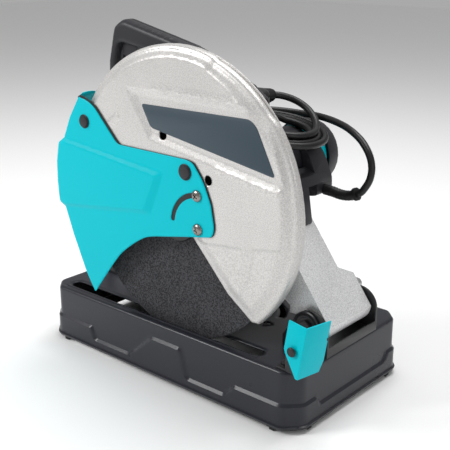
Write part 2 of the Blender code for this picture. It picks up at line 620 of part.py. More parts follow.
def arm_casting(body):
    """The silver arm: a channel from the pivot, open below, that widens into the gear case."""
    casting = link("arm_casting", prism(arm_outline(), ARM_NEAR, ARM_FAR), "silver_paint", body)
    wide = ([FLARE_START, WEB_END] + arc(PIVOT_X, PIVOT_Z, ARM_BOSS, -5, -150, 12)
            + [(0.1830, 0.1373), (0.1700, 0.1560)])
    join(casting, prism(wide, ARM_FAR - 0.002, ARM_WIDE))
    slant = prism([(-0.004, ARM_FAR + 0.001), (0.001, ARM_FAR + 0.001), (0.016, ARM_WIDE),
                   (0.016, ARM_WIDE + 0.002), (-0.004, ARM_WIDE + 0.002)], -0.06, 0.01, "Z")
    along = Vector((WEB_END[0] - FLARE_START[0], 0, WEB_END[1] - FLARE_START[1])).normalized()
    upright = Matrix((along, (0, 1, 0), along.cross(Vector((0, 1, 0))))).transposed().to_4x4()
    slant.transform(Matrix.Translation((FLARE_START[0], 0, FLARE_START[1])) @ upright)
    cut(casting, slant)
    join(casting, prism(case_outline(), ARM_NEAR, CASE_FAR))
    wall = 0.0045
    channel = [WEB_INNER_TOP, WEB_INNER_END, (0.2250, 0.0700), (0.1300, 0.0700), (0.0950, 0.1600),
               (0.1000, 0.2350)]
    cut(casting, prism(channel, ARM_NEAR + wall, ARM_FAR - wall))
    hollow = [(0.2038, 0.1585), WEB_INNER_END, (0.2250, 0.0700), (0.1600, 0.0700), (0.1700, 0.1330)]
    cut(casting, prism(hollow, ARM_FAR - 0.010, ARM_WIDE - wall))
    join(casting, box((0.1690, ARM_NEAR + 0.002, 0.1282), (0.1800, ARM_FAR - 0.002, 0.1480)))
    cut(casting, rod(0.0675, ARM_NEAR - 0.01, -0.0145, SPINDLE_X, SPINDLE_Z, segments=36),
        rod(0.0165, ARM_NEAR - 0.01, -0.0145, MOTOR_X, MOTOR_Z),
        rod(0.0153, -0.02, -0.0045, SPINDLE_X, SPINDLE_Z),
        rod(0.0163, -0.0105, 0.01, MOTOR_X, MOTOR_Z),
        rod(0.0080, -0.03, 0.01, MOTOR_X, MOTOR_Z),
        rod(0.0063, ARM_NEAR - 0.01, ARM_WIDE + 0.01, PIVOT_X, PIVOT_Z),
        rod(LOCK_RADIUS + GAP, ARM_WIDE - 0.008, ARM_WIDE + 0.01, LOCK_X, LOCK_Z, segments=12),
        rod(0.0043, -0.02, 0.01, *SPINDLE_LOCK, segments=12))


def gear_cover(body):
    """The bearing plate that closes the gear case on the wheel side."""
    near, far = ARM_NEAR - 0.0063, ARM_NEAR - GAP
    cover = link("gear_cover", prism(case_outline(), near, far), "silver_paint", body)
    join(cover, rod(0.0262, -0.0750, near + 0.002, SPINDLE_X, SPINDLE_Z, segments=28))
    cut(cover, rod(0.0203, -0.08, -0.0600, SPINDLE_X, SPINDLE_Z),
        rod(0.0140, -0.08, -0.04, SPINDLE_X, SPINDLE_Z))


def spindle(body):
    """Everything that turns with the wheel."""
    x, z = SPINDLE_X, SPINDLE_Z
    shaft = link("spindle_shaft", rod(SPINDLE_RADIUS, -0.1030, -0.0165, x, z, segments=24), "steel", body)
    join(shaft, rod(0.0080, -0.0175, -0.0055, x, z))
    cut(shaft, rod(0.0053, -0.11, -0.088, x, z, segments=16))
    inner = link("inner_flange", rod(0.0380, -0.1002, -0.0945, x, z, segments=36), "steel", body)
    join(inner, rod(0.0190, -0.096, -0.0780, x, z, segments=24))
    cut(inner, rod(SPINDLE_RADIUS + GAP, -0.11, -0.07, x, z, segments=24))
    link("abrasive_wheel", prism(circle(x, z, WHEEL_RADIUS, 72), WHEEL_NEAR, WHEEL_FAR, "Y",
                                 [circle(x, z, SPINDLE_RADIUS + GAP, 24)]), "abrasive", body)
    disc = rod(0.0360, -0.1065, -0.1038, x, z, segments=36, far_radius=0.0380)
    outer = link("outer_flange", disc, "black_steel", body)
    join(outer, rod(0.0200, -0.1095, -0.106, x, z, segments=24))
    cut(outer, rod(0.0058, -0.12, -0.10, x, z, segments=16))
    bolt = link("wheel_bolt", rod(0.0102, -0.1165, -0.1098, x, z, segments=6), "steel", body)
    join(bolt, rod(0.0050, -0.112, -0.0895, x, z, segments=16))
    teeth = gear_outline(x, z, GEAR_TIP, GEAR_TOOTH, GEAR_TEETH, MESH_ANGLE)
    gear = prism(teeth, GEAR_NEAR, GEAR_FAR, "Y", [circle(x, z, SPINDLE_RADIUS + GAP, 24)])
    link("drive_gear", gear, "steel", body)


def bearings(body):
    """Ball bearings, as closed units."""
    for name, outer, inner, low, high, x, z in (
            ("spindle_bearing_front", 0.0200, 0.0128, -0.0735, -0.0603, SPINDLE_X, SPINDLE_Z),
            ("spindle_bearing_rear", 0.0150, 0.0083, -0.0142, -0.0050, SPINDLE_X, SPINDLE_Z),
            ("armature_bearing_front", 0.0160, 0.0053, -0.0100, -0.0015, MOTOR_X, MOTOR_Z),
            ("armature_bearing_rear", 0.0110, 0.0053, 0.1135, 0.1205, MOTOR_X, MOTOR_Z)):
        link(name, ring(outer, inner, low, high, x, z, segments=20), "steel", body)


def motor(body):
    """The motor's fixed parts, all around one line along Y."""
    x, z = MOTOR_X, MOTOR_Z
    housing = ring(MOTOR_RADIUS, MOTOR_BORE, CASE_FAR + GAP, 0.0830, x, z, segments=40)
    link("motor_housing", housing, "black_plastic", body)
    band = ring(0.0450, MOTOR_BORE, 0.0833, 0.1070, x, z, segments=40)
    link("motor_accent_band", band, "teal_paint", body)
    link("stator", ring(0.0420, 0.0272, 0.0200, 0.0680, x, z, segments=28), "laminations", body)
    profile = [(0.0, 0.1350), (0.0430, 0.1350), (0.0480, 0.1320), (0.0505, 0.1260), (0.0505, 0.1120),
               (0.0500, 0.1073), (0.0475, 0.1073), (0.0475, 0.1250), (0.0420, 0.1320), (0.0140, 0.1320),
               (0.0140, 0.1120), (0.0113, 0.1120), (0.0113, 0.1320), (0.0, 0.1320)]
    turned("motor_end_cap", profile, x, z, "black_plastic", body, 28)
    for name, angle in (("upper", 105), ("lower", 285)):
        turn = Matrix.Translation((x, 0.120, z)) @ Matrix.Rotation(math.radians(90 - angle), 4, "Y")
        brush = box((-0.0035, -0.0400, 0.0142), (0.0035, -0.0320, 0.0300))
        brush.transform(turn)
        link("carbon_brush_" + name, brush, "black_steel", body)


def armature(body):
    """Everything that turns with the motor's shaft."""
    x, z = MOTOR_X, MOTOR_Z
    link("armature_shaft", rod(0.0050, -0.0465, 0.1225, x, z, segments=16), "steel", body)
    link("armature_core", ring(0.0262, 0.0053, 0.0200, 0.0680, x, z, segments=24), "laminations", body)
    link("commutator", ring(0.0138, 0.0053, 0.0745, 0.0905, x, z, segments=20), "copper", body)
    fan = link("cooling_fan", ring(0.0400, 0.0053, 0.0040, 0.0060, x, z, segments=32), "black_plastic", body)
    for i in range(6):
        blade = box((0.0140, -0.0007, 0.0), (0.0385, 0.0007, 0.0070))
        blade.transform(Matrix.Translation((x, 0.0125, z)) @ Matrix.Rotation(math.tau * i / 6, 4, "Y")
                        @ Matrix.Rotation(math.pi / 2, 4, "X"))
        join(fan, blade)
    first = MESH_ANGLE + 180 + 180 / PINION_TEETH
    teeth = gear_outline(x, z, PINION_TIP, PINION_TOOTH, PINION_TEETH, first)
    pinion = prism(teeth, GEAR_NEAR, GEAR_FAR, "Y", [circle(x, z, 0.0053, 12)])
    link("pinion", pinion, "steel", body)


def meet(point, direction, centre, radius, forward=True):
    """The point where a straight line crosses a circle, on its far or its near side."""
    run = Vector(direction).normalized()
    offset = Vector(point) - Vector(centre)
    along = offset.dot(run)
    root = math.sqrt(max(0.0, along ** 2 - offset.length_squared + radius ** 2))
    return Vector(point) + run * (-along + (root if forward else -root))


def angle_about(centre, point):
    return math.degrees(math.atan2(point[1] - centre[1], point[0] - centre[0]))


FRONT_EDGE = ((0.0526, 0.2270), (0.1160, 0.1600), (0.1580, 0.1310))   # the fixed guard's open edge


def guard_outline(inset=0.0):
    """The fixed guard's outline: round over the top, open at the lower front, cleared round the
    spindle. Every side moves inwards by the inset."""
    top, bend, tip = (Vector(corner) for corner in FRONT_EDGE)
    upper, lower = (top - bend).normalized(), (tip - bend).normalized()
    bend = bend + (Vector((upper.y, -upper.x)) + Vector((-lower.y, lower.x))).normalized() * inset
    centre, spindle = (GUARD_X, GUARD_Z), (SPINDLE_X, SPINDLE_Z)
    corner = meet(bend, lower, centre, GUARD_RADIUS - inset)
    arbor = ARBOR_RADIUS + inset * 0.7
    side = meet(bend, upper, spindle, arbor, False)
    return (arc(*centre, GUARD_RADIUS - inset, RIM_START, angle_about(centre, corner) + 2, 40)
            + [tuple(corner.lerp(bend, 0.12)), tuple(bend)]
            + arc(*spindle, arbor, angle_about(spindle, side), 150, 10)
            + [(-0.0600, 0.2700 + inset), (-0.1100, 0.2850 + inset)])


def back_outline(centre, radius):
    """The outline of the back shell or of its flange: as the cover, but carried down past the spindle."""
    top, bend, tip = (Vector(corner) for corner in FRONT_EDGE)
    corner = meet(bend, tip - bend, centre, radius)
    return (arc(*centre, radius, RIM_START, angle_about(centre, corner) + 2, 40)
            + [tuple(corner.lerp(bend, 0.12)), tuple(bend), tuple(top + Vector((-0.004, -0.020))),
               (-0.0300, 0.1950), (-0.1050, 0.2500)])


def fixed_guard(body):
    """The silver guard over the wheel: a back shell with a flange, and a near cover with a raised face."""
    shell = back_outline((SHELL_X, SHELL_Z), SHELL_RADIUS)
    flange = back_outline((GUARD_X, GUARD_Z), GUARD_RADIUS)
    back = link("guard_back", prism(shell, FLANGE_BACK - 0.0010, GUARD_BACK), "silver_paint", body)
    join(back, prism(flange, COVER_BACK + GAP, FLANGE_BACK))
    inner = (arc(SHELL_X, SHELL_Z, SHELL_RADIUS - 0.0022, RIM_START + 4, -49, 40)
             + [(0.18, 0.0), (-0.20, 0.0), (-0.20, 0.30)])
    cut(back, prism(inner, GUARD_RIM - 0.01, GUARD_BACK - 0.0022),
        rod(0.0280, GUARD_BACK - 0.02, GUARD_BACK + 0.01, SPINDLE_X, SPINDLE_Z, segments=24))
    cover = link("guard_cover", prism(guard_outline(), GUARD_RIM, COVER_BACK), "silver_paint", body)
    join(cover, prism(guard_outline(0.016), GUARD_FACE, GUARD_RIM + 0.001))
    cut(cover, prism(guard_outline(0.0025), GUARD_RIM + 0.0025, COVER_BACK + 0.01),
        prism(guard_outline(0.0185), GUARD_FACE + 0.0022, GUARD_RIM + 0.01),
        rod(0.0033, -0.15, -0.10, SCREW_X, SCREW_Z, segments=12),
        rod(0.0033, -0.15, -0.10, SCREW_X - 0.0010, SCREW_Z + CLAMP_ARM, segments=12),
        rod(0.0060, -0.15, -0.10, 0.0081, 0.3599, segments=16))
    label = [(-0.0310, 0.3966), (0.1557, 0.3998), (0.1666, 0.3919), (0.1960, 0.3336), (-0.0140, 0.3665)]
    plate = prism(rounded(label, 0.006, 3), GUARD_FACE - 0.0009, GUARD_FACE - GAP)
    link("guard_label", plate, "slate", body)
    for name, x, z in (("pivot", SCREW_X, SCREW_Z), ("clamp", SCREW_X - 0.0010, SCREW_Z + CLAMP_ARM)):
        screw = link(f"front_guard_{name}_screw", rod(0.0072, FRONT_FACE - 0.0040, FRONT_FACE - GAP, x, z,
                                                      segments=18, far_radius=0.0088), "steel", body)
        join(screw, rod(0.0030, FRONT_FACE - 0.002, GUARD_RIM - 0.0022, x, z, segments=12))


FRONT_OUTLINE = (  # the folded left edge from the top lip down to the tip, then the flat plate's free edge
    (-0.1540, 0.3935), (-0.1770, 0.3598), (-0.1920, 0.3283), (-0.2050, 0.3194), (-0.2113, 0.2904),
    (-0.2126, 0.2595), (-0.2100, 0.2263), (-0.1980, 0.2202), (-0.1820, 0.1787), (-0.1580, 0.1266),
    (-0.1373, 0.0989), (-0.0877, 0.1624), (-0.0605, 0.1878), (-0.0285, 0.2088), (-0.0043, 0.2167),
    (0.0560, 0.2296), (0.0980, 0.2380), (0.1020, 0.2500), (0.0963, 0.2815), (0.0838, 0.3097),
    (0.0663, 0.3313), (0.0557, 0.3345), (-0.0717, 0.3350), (-0.0785, 0.3372), (-0.1195, 0.3790),
    (-0.1300, 0.3860),
)
FOLDED_CORNERS = 10       # how many of those corners lie on the folded edge


def front_guard(body):
    """The teal guard: a flat plate whose front edge is folded round the wheel."""
    guard = link("front_guard", prism(FRONT_OUTLINE, FRONT_FACE, FRONT_BACK), "teal_paint", body)
    middle = Vector((-0.02, 0.27))
    inner = []
    for corner in FRONT_OUTLINE[:FOLDED_CORNERS]:
        towards = middle - Vector(corner)
        inner.append(tuple(Vector(corner) + towards.normalized() * FRONT_SHEET * 1.15))
    inner[0] = (inner[0][0], inner[0][1] + 0.010)
    opening = inner + [(-0.1700, 0.0700), (0.1500, 0.0700), (0.1500, 0.4200)]
    cut(guard, prism(opening, FRONT_FACE + FRONT_SHEET, FRONT_BACK + 0.01))
    slot = curved_slot(SCREW_X, SCREW_Z, CLAMP_ARM, 0.0036, 88, 172)
    cut(guard, prism(slot, -0.14, -0.11), rod(0.0035, -0.14, -0.11, SCREW_X, SCREW_Z, segments=12))
    for name, x, z, radius in (("front", -0.1430, 0.3580, 0.0095), ("rear", 0.0525, 0.3178, 0.0105)):
        cut(guard, rod(0.0043, -0.14, -0.11, x, z, segments=12))
        knob = link("guard_buffer_" + name, rod(radius * 0.8, FRONT_FACE - 0.0030, FRONT_FACE - GAP, x, z,
                                                segments=18, far_radius=radius), "rubber", body)
        join(knob, rod(0.0040, FRONT_FACE - 0.002, FRONT_FACE + FRONT_SHEET, x, z, segments=12))


# ---- the handle ----
HANDLE_OUTLINE = (
    (-0.1480, 0.3760), (-0.1520, 0.4050), (-0.1505, 0.4370), (-0.1375, 0.4880), (-0.1190, 0.4985),
    (-0.0300, 0.4790), (0.0100, 0.4700), (0.0450, 0.4570), (0.0810, 0.4410), (0.1070, 0.4270),
    (0.1310, 0.4110), (0.1280, 0.3950), (0.1050, 0.3640), (0.0690, 0.3520), (0.0470, 0.3500),
    (-0.0260, 0.3170), (-0.0600, 0.3330), (-0.1250, 0.3600),
)
HANDLE_OPENING = (
    (-0.1335, 0.3960), (-0.1325, 0.4400), (-0.1275, 0.4645), (-0.0450, 0.4505), (-0.0350, 0.4300),
    (-0.0450, 0.3850), (-0.1200, 0.3740),
)
TRIGGER_HINGE = (-0.0960, 0.4670)


def handle(body):
    """The D grip and its spine: two shells that meet on the split plane."""
    outline, opening = rounded(HANDLE_OUTLINE, 0.010, 3), rounded(HANDLE_OPENING, 0.010, 3)
    pocket = [(-0.1310, 0.4560), (-0.1290, 0.4760), (-0.0900, 0.4720), (-0.0890, 0.4500)]
    for name, low, high in (("near", HANDLE_Y - HANDLE_HALF, HANDLE_Y - GAP / 2),
                            ("far", HANDLE_Y + GAP / 2, HANDLE_Y + HANDLE_HALF)):
        half = link(f"handle_{name}", prism(outline, low, high, "Y", [opening]), "black_plastic", body)
        cut(half, prism(pocket, HANDLE_Y - 0.0056, HANDLE_Y + 0.0056))
        cut(half, prism(case_outline(0.0006), -0.08, 0.01))
        if name == "far":
            cut(half, rod(0.0048, -0.0530, -0.03, *LOCK_BUTTON, segments=16))


def switch(trigger_body, button_body):
    outline = [(-0.1270, 0.4705), (-0.0950, 0.4705), (-0.0930, 0.4610), (-0.1050, 0.4500), (-0.1190, 0.4440),
               (-0.1275, 0.4480)]
    lever = prism(rounded(outline, 0.0025, 2), HANDLE_Y - 0.0052, HANDLE_Y + 0.0052)
    trigger = link("trigger", lever, "black_plastic", trigger_body)
    soften(trigger, 0.0008)
    stem = rod(0.0045, -0.0485, HANDLE_Y + HANDLE_HALF + 0.0028, *LOCK_BUTTON, segments=16)
    button = link("lock_on_button", stem, "black_plastic", button_body)
    soften(button, 0.0006)


def spindle_lock(body):
    stem = rod(0.0040, -0.0125, 0.0065, *SPINDLE_LOCK, segments=12)
    button = link("spindle_lock_button", stem, "steel", body)
    join(button, rod(0.0080, 0.0060, 0.0120, *SPINDLE_LOCK, segments=16))


# ---- the cord ----
def cord(body):
    """The gland block and strain relief on the motor, the free cord, its coil and its plug."""
    block = [(0.1020, 0.3270), (0.1180, 0.3270), (0.1260, 0.3180), (0.1410, 0.2860), (0.1412, 0.2640),
             (0.1180, 0.2600), (0.0900, 0.2660)]
    gland = link("cord_gland", prism(rounded(block, 0.006, 3), 0.0470, 0.0826), "black_plastic", body)
    cut(gland, rod(MOTOR_RADIUS + 0.0004, 0.03, 0.10, MOTOR_X, MOTOR_Z, segments=40))
    gusset = [(0.1180, 0.2818), (0.1180, 0.3020), (0.1400, 0.2960), (0.1470, 0.2840), (0.1545, 0.2380),
              (0.1538, 0.2342)]
    join(gland, prism(gusset, -0.0020, 0.0180), prism(gusset[:4], 0.0150, 0.0480))
    taper = [1.0, 0.98, 0.96, 0.94, 0.92]
    relief = link("strain_relief", tube(RELIEF_ROUTE, 0.0075, taper), "rubber", body)
    tip, before = Vector(RELIEF_ROUTE[-1]), Vector(RELIEF_ROUTE[-2])
    aim = (tip - before).normalized().to_track_quat("Z", "Y").to_matrix().to_4x4()
    collar = rod(0.0092, -0.0045, 0, 0, 0, "Z", 16)
    collar.transform(Matrix.Translation(tip) @ aim)
    join(relief, collar)
    lead = smooth_route(CORD_ROUTE, CORD_RADIUS * 2.4)
    link("cord_lead", tube(lead, CORD_RADIUS), "rubber", body)
    coil = ring(COIL_OUTER, COIL_INNER, 0, COIL_HEIGHT, 0, 0, "Z", 32)
    coil.transform(COIL_PLACE)
    link("cord_coil", coil, "rubber", body)
    shell = rod(0.0150, 0, 0.034, 0, 0, "Z", 16)
    shell.transform(COIL_PLACE @ PLUG_PLACE)
    plug = link("cord_plug", shell, "rubber", body)
    neck = rod(0.0085, -0.020, 0.002, 0, 0, "Z", 12, far_radius=0.0120)
    neck.transform(COIL_PLACE @ PLUG_PLACE)
    join(plug, neck)
    for side in (-1, 1):
        pin = rod(0.0024, 0.030, 0.052, side * 0.0095, 0, "Z", 10)
        pin.transform(COIL_PLACE @ PLUG_PLACE)
        join(plug, pin)


def arm_spring():
    """The coiled spring on the pivot that lifts the arm once the lock pin is out."""
    turns, per_turn, width = 5, 10, 0.044
    count = turns * per_turn
    radius = 0.0105
    points = []
    for i in range(count + 1):
        angle = math.tau * i / per_turn
        points.append((PIVOT_X + radius * math.cos(angle), -width / 2 + width * i / count,
                       PIVOT_Z + radius * math.sin(angle)))
    link("arm_spring", tube(points, 0.0016, resolution=1), "steel")


# ---- assembly ----
clear_scene()
PARTS = new_collection("abrasive_chop_saw")
CUTTERS = new_collection("cutters")

base_pan()
feet()
pivot_bracket()
arm_spring()
arm_axis = joint_empty("arm_axis", PIVOT_X, 0, PIVOT_Z)
spindle_axis = joint_empty("spindle_axis", SPINDLE_X, -0.05, SPINDLE_Z, arm_axis)
armature_axis = joint_empty("armature_axis", MOTOR_X, 0.04, MOTOR_Z, arm_axis)
front_guard_axis = joint_empty("front_guard_axis", SCREW_X, FRONT_FACE, SCREW_Z, arm_axis)
trigger_axis = joint_empty("trigger_axis", TRIGGER_HINGE[0], HANDLE_Y, TRIGGER_HINGE[1], arm_axis)
button_axis = joint_empty("lock_on_button_axis", LOCK_BUTTON[0], HANDLE_Y, LOCK_BUTTON[1], arm_axis)
spindle_lock_axis = joint_empty("spindle_lock_axis", SPINDLE_LOCK[0], 0, SPINDLE_LOCK[1], arm_axis)
fence_axis = joint_empty("fence_axis", *FENCE_PIVOT, DECK)
vise_axis = joint_empty("vise_slide_axis", -0.06, VISE_Y, VISE_Z)
screw_axis = joint_empty("vise_screw_axis", -0.20, VISE_Y, VISE_Z, vise_axis)
bolt_point = DEFLECTOR + DEFLECTOR_TURN.to_matrix() @ Vector((DEFLECTOR_BOLT[0], 0, DEFLECTOR_BOLT[1]))
deflector_axis = joint_empty("spark_deflector_axis", *bolt_point)
lock_pin_axis = joint_empty("lock_pin_axis", LOCK_X, 0.07, LOCK_Z)

lock_pin(lock_pin_axis)
fence(fence_axis)
vise(vise_axis, screw_axis)
spark_deflector(deflector_axis)
arm_casting(arm_axis)
gear_cover(arm_axis)
bearings(arm_axis)
motor(arm_axis)
fixed_guard(arm_axis)
handle(arm_axis)
cord(arm_axis)
spindle(spindle_axis)
armature(armature_axis)
front_guard(front_guard_axis)
switch(trigger_axis, button_axis)
spindle_lock(spindle_lock_axis)

for made in list(PARTS.objects) + list(CUTTERS.objects):
    if made.parent is None:
        made.location -= Vector((CENTRE_X, CENTRE_Y, 0))
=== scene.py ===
"""Looks of the abrasive chop saw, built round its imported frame.

Every place below is given from the middle of the base pan, in metres: +X runs from the handle to the
pivot, +Y from the wheel to the motor, +Z up. Pieces are moved to the frame's own origin as they are made.
"""
import json
import math

import bmesh
import bpy
import numpy as np
from mathutils import Matrix, Vector
from mathutils.geometry import delaunay_2d_cdt


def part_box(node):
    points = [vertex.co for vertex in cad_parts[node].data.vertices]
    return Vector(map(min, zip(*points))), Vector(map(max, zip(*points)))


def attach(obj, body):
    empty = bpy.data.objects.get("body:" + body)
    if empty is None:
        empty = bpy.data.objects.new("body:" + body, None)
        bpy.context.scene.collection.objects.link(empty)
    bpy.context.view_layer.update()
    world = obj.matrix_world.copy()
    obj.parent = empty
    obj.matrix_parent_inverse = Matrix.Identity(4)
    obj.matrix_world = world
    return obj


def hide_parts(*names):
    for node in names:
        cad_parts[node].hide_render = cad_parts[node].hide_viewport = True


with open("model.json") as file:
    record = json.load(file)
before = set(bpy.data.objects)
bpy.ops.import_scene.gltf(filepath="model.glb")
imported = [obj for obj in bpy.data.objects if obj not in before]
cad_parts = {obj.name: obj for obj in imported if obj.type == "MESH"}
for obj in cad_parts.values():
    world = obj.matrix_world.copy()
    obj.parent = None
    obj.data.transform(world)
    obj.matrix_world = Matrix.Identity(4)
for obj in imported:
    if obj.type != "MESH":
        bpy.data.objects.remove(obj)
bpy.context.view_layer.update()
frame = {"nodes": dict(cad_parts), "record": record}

pan_low, pan_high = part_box("base_pan")
BASE = Matrix.Translation(((pan_low.x + pan_high.x) / 2, (pan_low.y + pan_high.y) / 2, 0))
BODY_OF = {node: body for body, nodes in frame["record"]["behaviour"]["bodies"].items() for node in nodes}
SLOT_OF = {row["node"]: row["material_slot"] for row in frame["record"]["subparts"]}

# ---- sizes that several pieces share ----
DECK = pan_high.z
FLOOR = 0.0
SPINDLE = (0.016, 0.247)
PIVOT = (0.208, 0.125)
GUARD, GUARD_RADIUS = (0.0285, 0.2772), 0.2011
PIVOT_SCREW = (0.0739, 0.2438)
CLAMP_SCREW = (0.0729, 0.2894)
SCREW_HOLE = 0.0034
PLATE_FACE = -0.1255
CORD_RADIUS = 0.005


def linked(name, data):
    """A new object, in the scene."""
    made = bpy.data.objects.new(name, data)
    bpy.context.scene.collection.objects.link(made)
    return made


# ---- camera, light and floor ----
def camera():
    azimuth, elevation, distance = math.radians(40.945), math.radians(18.390), 1.2943
    target = BASE @ Vector((0.0120, 0.0, 0.2053))
    back = Vector((math.sin(azimuth) * math.cos(elevation), -math.cos(azimuth) * math.cos(elevation),
                   math.sin(elevation)))
    made = linked("camera", bpy.data.cameras.new("camera"))
    made.data.lens = 70.66
    made.data.sensor_width = 36
    made.location = target + back * distance
    made.rotation_mode = "QUATERNION"
    made.rotation_quaternion = (-back).to_track_quat("-Z", "Y")
    bpy.context.scene.camera = made


def area_light(name, place, size, power):
    light = bpy.data.lights.new(name, "AREA")
    light.shape = "RECTANGLE"
    light.size, light.size_y = size
    light.energy = power
    made = linked(name, light)
    made.location = place
    made.rotation_mode = "QUATERNION"
    made.rotation_quaternion = (Vector((0, 0, 0.25)) - Vector(place)).to_track_quat("-Z", "Y")


def studio():
    scene = bpy.context.scene
    scene.view_settings.view_transform = "Standard"
    world = bpy.data.worlds.new("studio")
    world.use_nodes = True
    background = world.node_tree.nodes["Background"].inputs
    background["Color"].default_value = (1.0, 1.0, 1.0, 1.0)
    background["Strength"].default_value = 0.40
    scene.world = world
    area_light("key", (-1.3, -1.7, 1.5), (0.8, 0.9), 34)
    area_light("top", (0.1, 0.5, 2.2), (1.4, 1.4), 34)
    area_light("side", (2.2, -0.6, 0.9), (0.5, 1.2), 5)
    mesh = bpy.data.meshes.new("floor")
    half = 6.0
    corners = [(-half, -half), (half, -half), (half, half), (-half, half)]
    mesh.from_pydata([(*corner, FLOOR) for corner in corners], [], [(0, 1, 2, 3)])
    floor = linked("floor", mesh)
    paper = bpy.data.materials.new("paper")
    paper.use_nodes = True
    shader = paper.node_tree.nodes["Principled BSDF"]
    shader.inputs["Base Color"].default_value = (0.93, 0.93, 0.93, 1)
    shader.inputs["Roughness"].default_value = 0.9
    mesh.materials.append(paper)


# ---- materials ----
BLOTCH = 18.0              # broad blotches of shade and gloss, in features per metre
BLOTCH_SHARE = 0.35        # how much they count beside the fine grain


def finish(name, light, dark, roughness, metallic=0.0, grain=900.0, contrast=0.25, bump=0.15,
           bump_depth=0.0002, gloss_noise=0.08, stretch=(1, 1, 1), shine=0.5):
    """A painted, moulded or bare surface: fine grain and broad blotches between two shades, with
    its own relief and an uneven gloss. Grain is in features per metre."""
    made = bpy.data.materials.new(name)
    made.use_nodes = True
    nodes, links = made.node_tree.nodes, made.node_tree.links
    shader = nodes["Principled BSDF"]

    def node(kind, values=(), **settings):
        """A new shader node with its settings and the values of its inputs."""
        new = nodes.new("ShaderNode" + kind)
        for key, value in settings.items():
            setattr(new, key, value)
        for key, value in dict(values).items():
            new.inputs[key].default_value = value
        return new

    where = node("TexCoord").outputs["Object"]
    stretched = node("Mapping", {"Scale": stretch})
    links.new(where, stretched.inputs["Vector"])
    fine, broad = (node("TexNoise", {"Scale": scale, "Detail": detail})
                   for scale, detail in ((grain, 3.0), (BLOTCH, 2.0)))
    for noise in (fine, broad):
        links.new(stretched.outputs["Vector"], noise.inputs["Vector"])
    fine, broad = fine.outputs["Fac"], broad.outputs["Fac"]
    speckle = node("MapRange", {"From Min": 0.5 - contrast, "From Max": 0.5 + contrast})
    links.new(fine, speckle.inputs["Value"])
    shade = node("Math", {1: BLOTCH_SHARE}, operation="MULTIPLY_ADD")
    links.new(broad, shade.inputs[0])
    links.new(speckle.outputs["Result"], shade.inputs[2])
    spread = node("MapRange", {"From Max": 1 + BLOTCH_SHARE})
    links.new(shade.outputs["Value"], spread.inputs["Value"])
    mix = node("Mix", {"A": (*dark, 1), "B": (*light, 1)}, data_type="RGBA")
    links.new(spread.outputs["Result"], mix.inputs["Factor"])
    links.new(mix.outputs["Result"], shader.inputs["Base Color"])
    gloss = node("MapRange", {"To Min": roughness - gloss_noise, "To Max": roughness + gloss_noise})
    links.new(broad, gloss.inputs["Value"])
    links.new(gloss.outputs["Result"], shader.inputs["Roughness"])
    relief = node("Bump", {"Strength": bump, "Distance": bump_depth})
    links.new(fine, relief.inputs["Height"])
    links.new(relief.outputs["Normal"], shader.inputs["Normal"])
    shader.inputs["Metallic"].default_value = metallic
    shader.inputs["Specular IOR Level"].default_value = shine
    return made


LOOKS = {
    "base_paint": dict(light=(0.025, 0.026, 0.034), dark=(0.016, 0.017, 0.023), roughness=0.29, grain=1500,
                       bump=0.2, gloss_noise=0.04, shine=0.34),
    "silver_paint": dict(light=(0.76, 0.74, 0.72), dark=(0.44, 0.43, 0.42), roughness=0.36, metallic=0.40,
                         grain=750, contrast=0.16, bump=0.2),
    "silver_cast": dict(light=(0.90, 0.90, 0.90), dark=(0.50, 0.50, 0.51), roughness=0.42, metallic=0.30,
                        grain=620, contrast=0.16, bump=0.45, bump_depth=0.0004),
    "teal_paint": dict(light=(0.0, 0.54, 0.63), dark=(0.0, 0.49, 0.57), roughness=0.36, grain=1800,
                       contrast=0.4, bump=0.06, shine=0.10),
    "slate": dict(light=(0.031, 0.056, 0.078), dark=(0.025, 0.046, 0.064), roughness=0.42, grain=2200,
                  bump=0.05),
    "black_plastic": dict(light=(0.026, 0.026, 0.031), dark=(0.016, 0.016, 0.020), roughness=0.42,
                          grain=1700, bump=0.3, bump_depth=0.00015, shine=0.32),
    "steel": dict(light=(0.66, 0.66, 0.67), dark=(0.44, 0.44, 0.45), roughness=0.28, metallic=1.0, grain=500,
                  bump=0.1, stretch=(1, 6, 1)),
    "dark_steel": dict(light=(0.34, 0.32, 0.30), dark=(0.22, 0.21, 0.19), roughness=0.26, metallic=1.0,
                       grain=600, bump=0.1),
    "black_steel": dict(light=(0.022, 0.022, 0.024), dark=(0.012, 0.012, 0.014), roughness=0.38,
                        metallic=0.2, grain=1300, bump=0.12),
    "abrasive": dict(light=(0.078, 0.078, 0.086), dark=(0.006, 0.006, 0.007), roughness=0.85, grain=560,
                     contrast=0.11, bump=0.9, bump_depth=0.0006, shine=0.3),
    "rubber": dict(light=(0.013, 0.013, 0.014), dark=(0.008, 0.008, 0.009), roughness=0.36, grain=1200,
                   bump=0.1, shine=0.35),
    "copper": dict(light=(0.80, 0.40, 0.20), dark=(0.52, 0.24, 0.11), roughness=0.32, metallic=1.0,
                   bump=0.1),
    "laminations": dict(light=(0.34, 0.34, 0.36), dark=(0.18, 0.18, 0.20), roughness=0.5, metallic=0.9,
                        stretch=(0.05, 4, 0.05)),
}
FINISHES = {name: finish(name, **look) for name, look in LOOKS.items()}


# ---- making pieces ----
def shown(name, bm, slot, body, replaces=(), sharp=35, from_base=True, look=None):
    """Puts a mesh in the scene as a piece: its finish, its body, and the CAD nodes it stands for.
    Edges sharper than the given angle stay crisp; a look is a finish other than its slot's own."""
    mesh = mesh_of(bm)
    if from_base:
        mesh.transform(BASE)
    mesh.materials.clear()
    mesh.materials.append(FINISHES[look or slot])
    mesh.shade_smooth()
    mesh.set_sharp_from_angle(angle=math.radians(sharp))
    made = linked(name, mesh)
    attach(made, body)
    if replaces:
        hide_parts(*replaces)
    return made


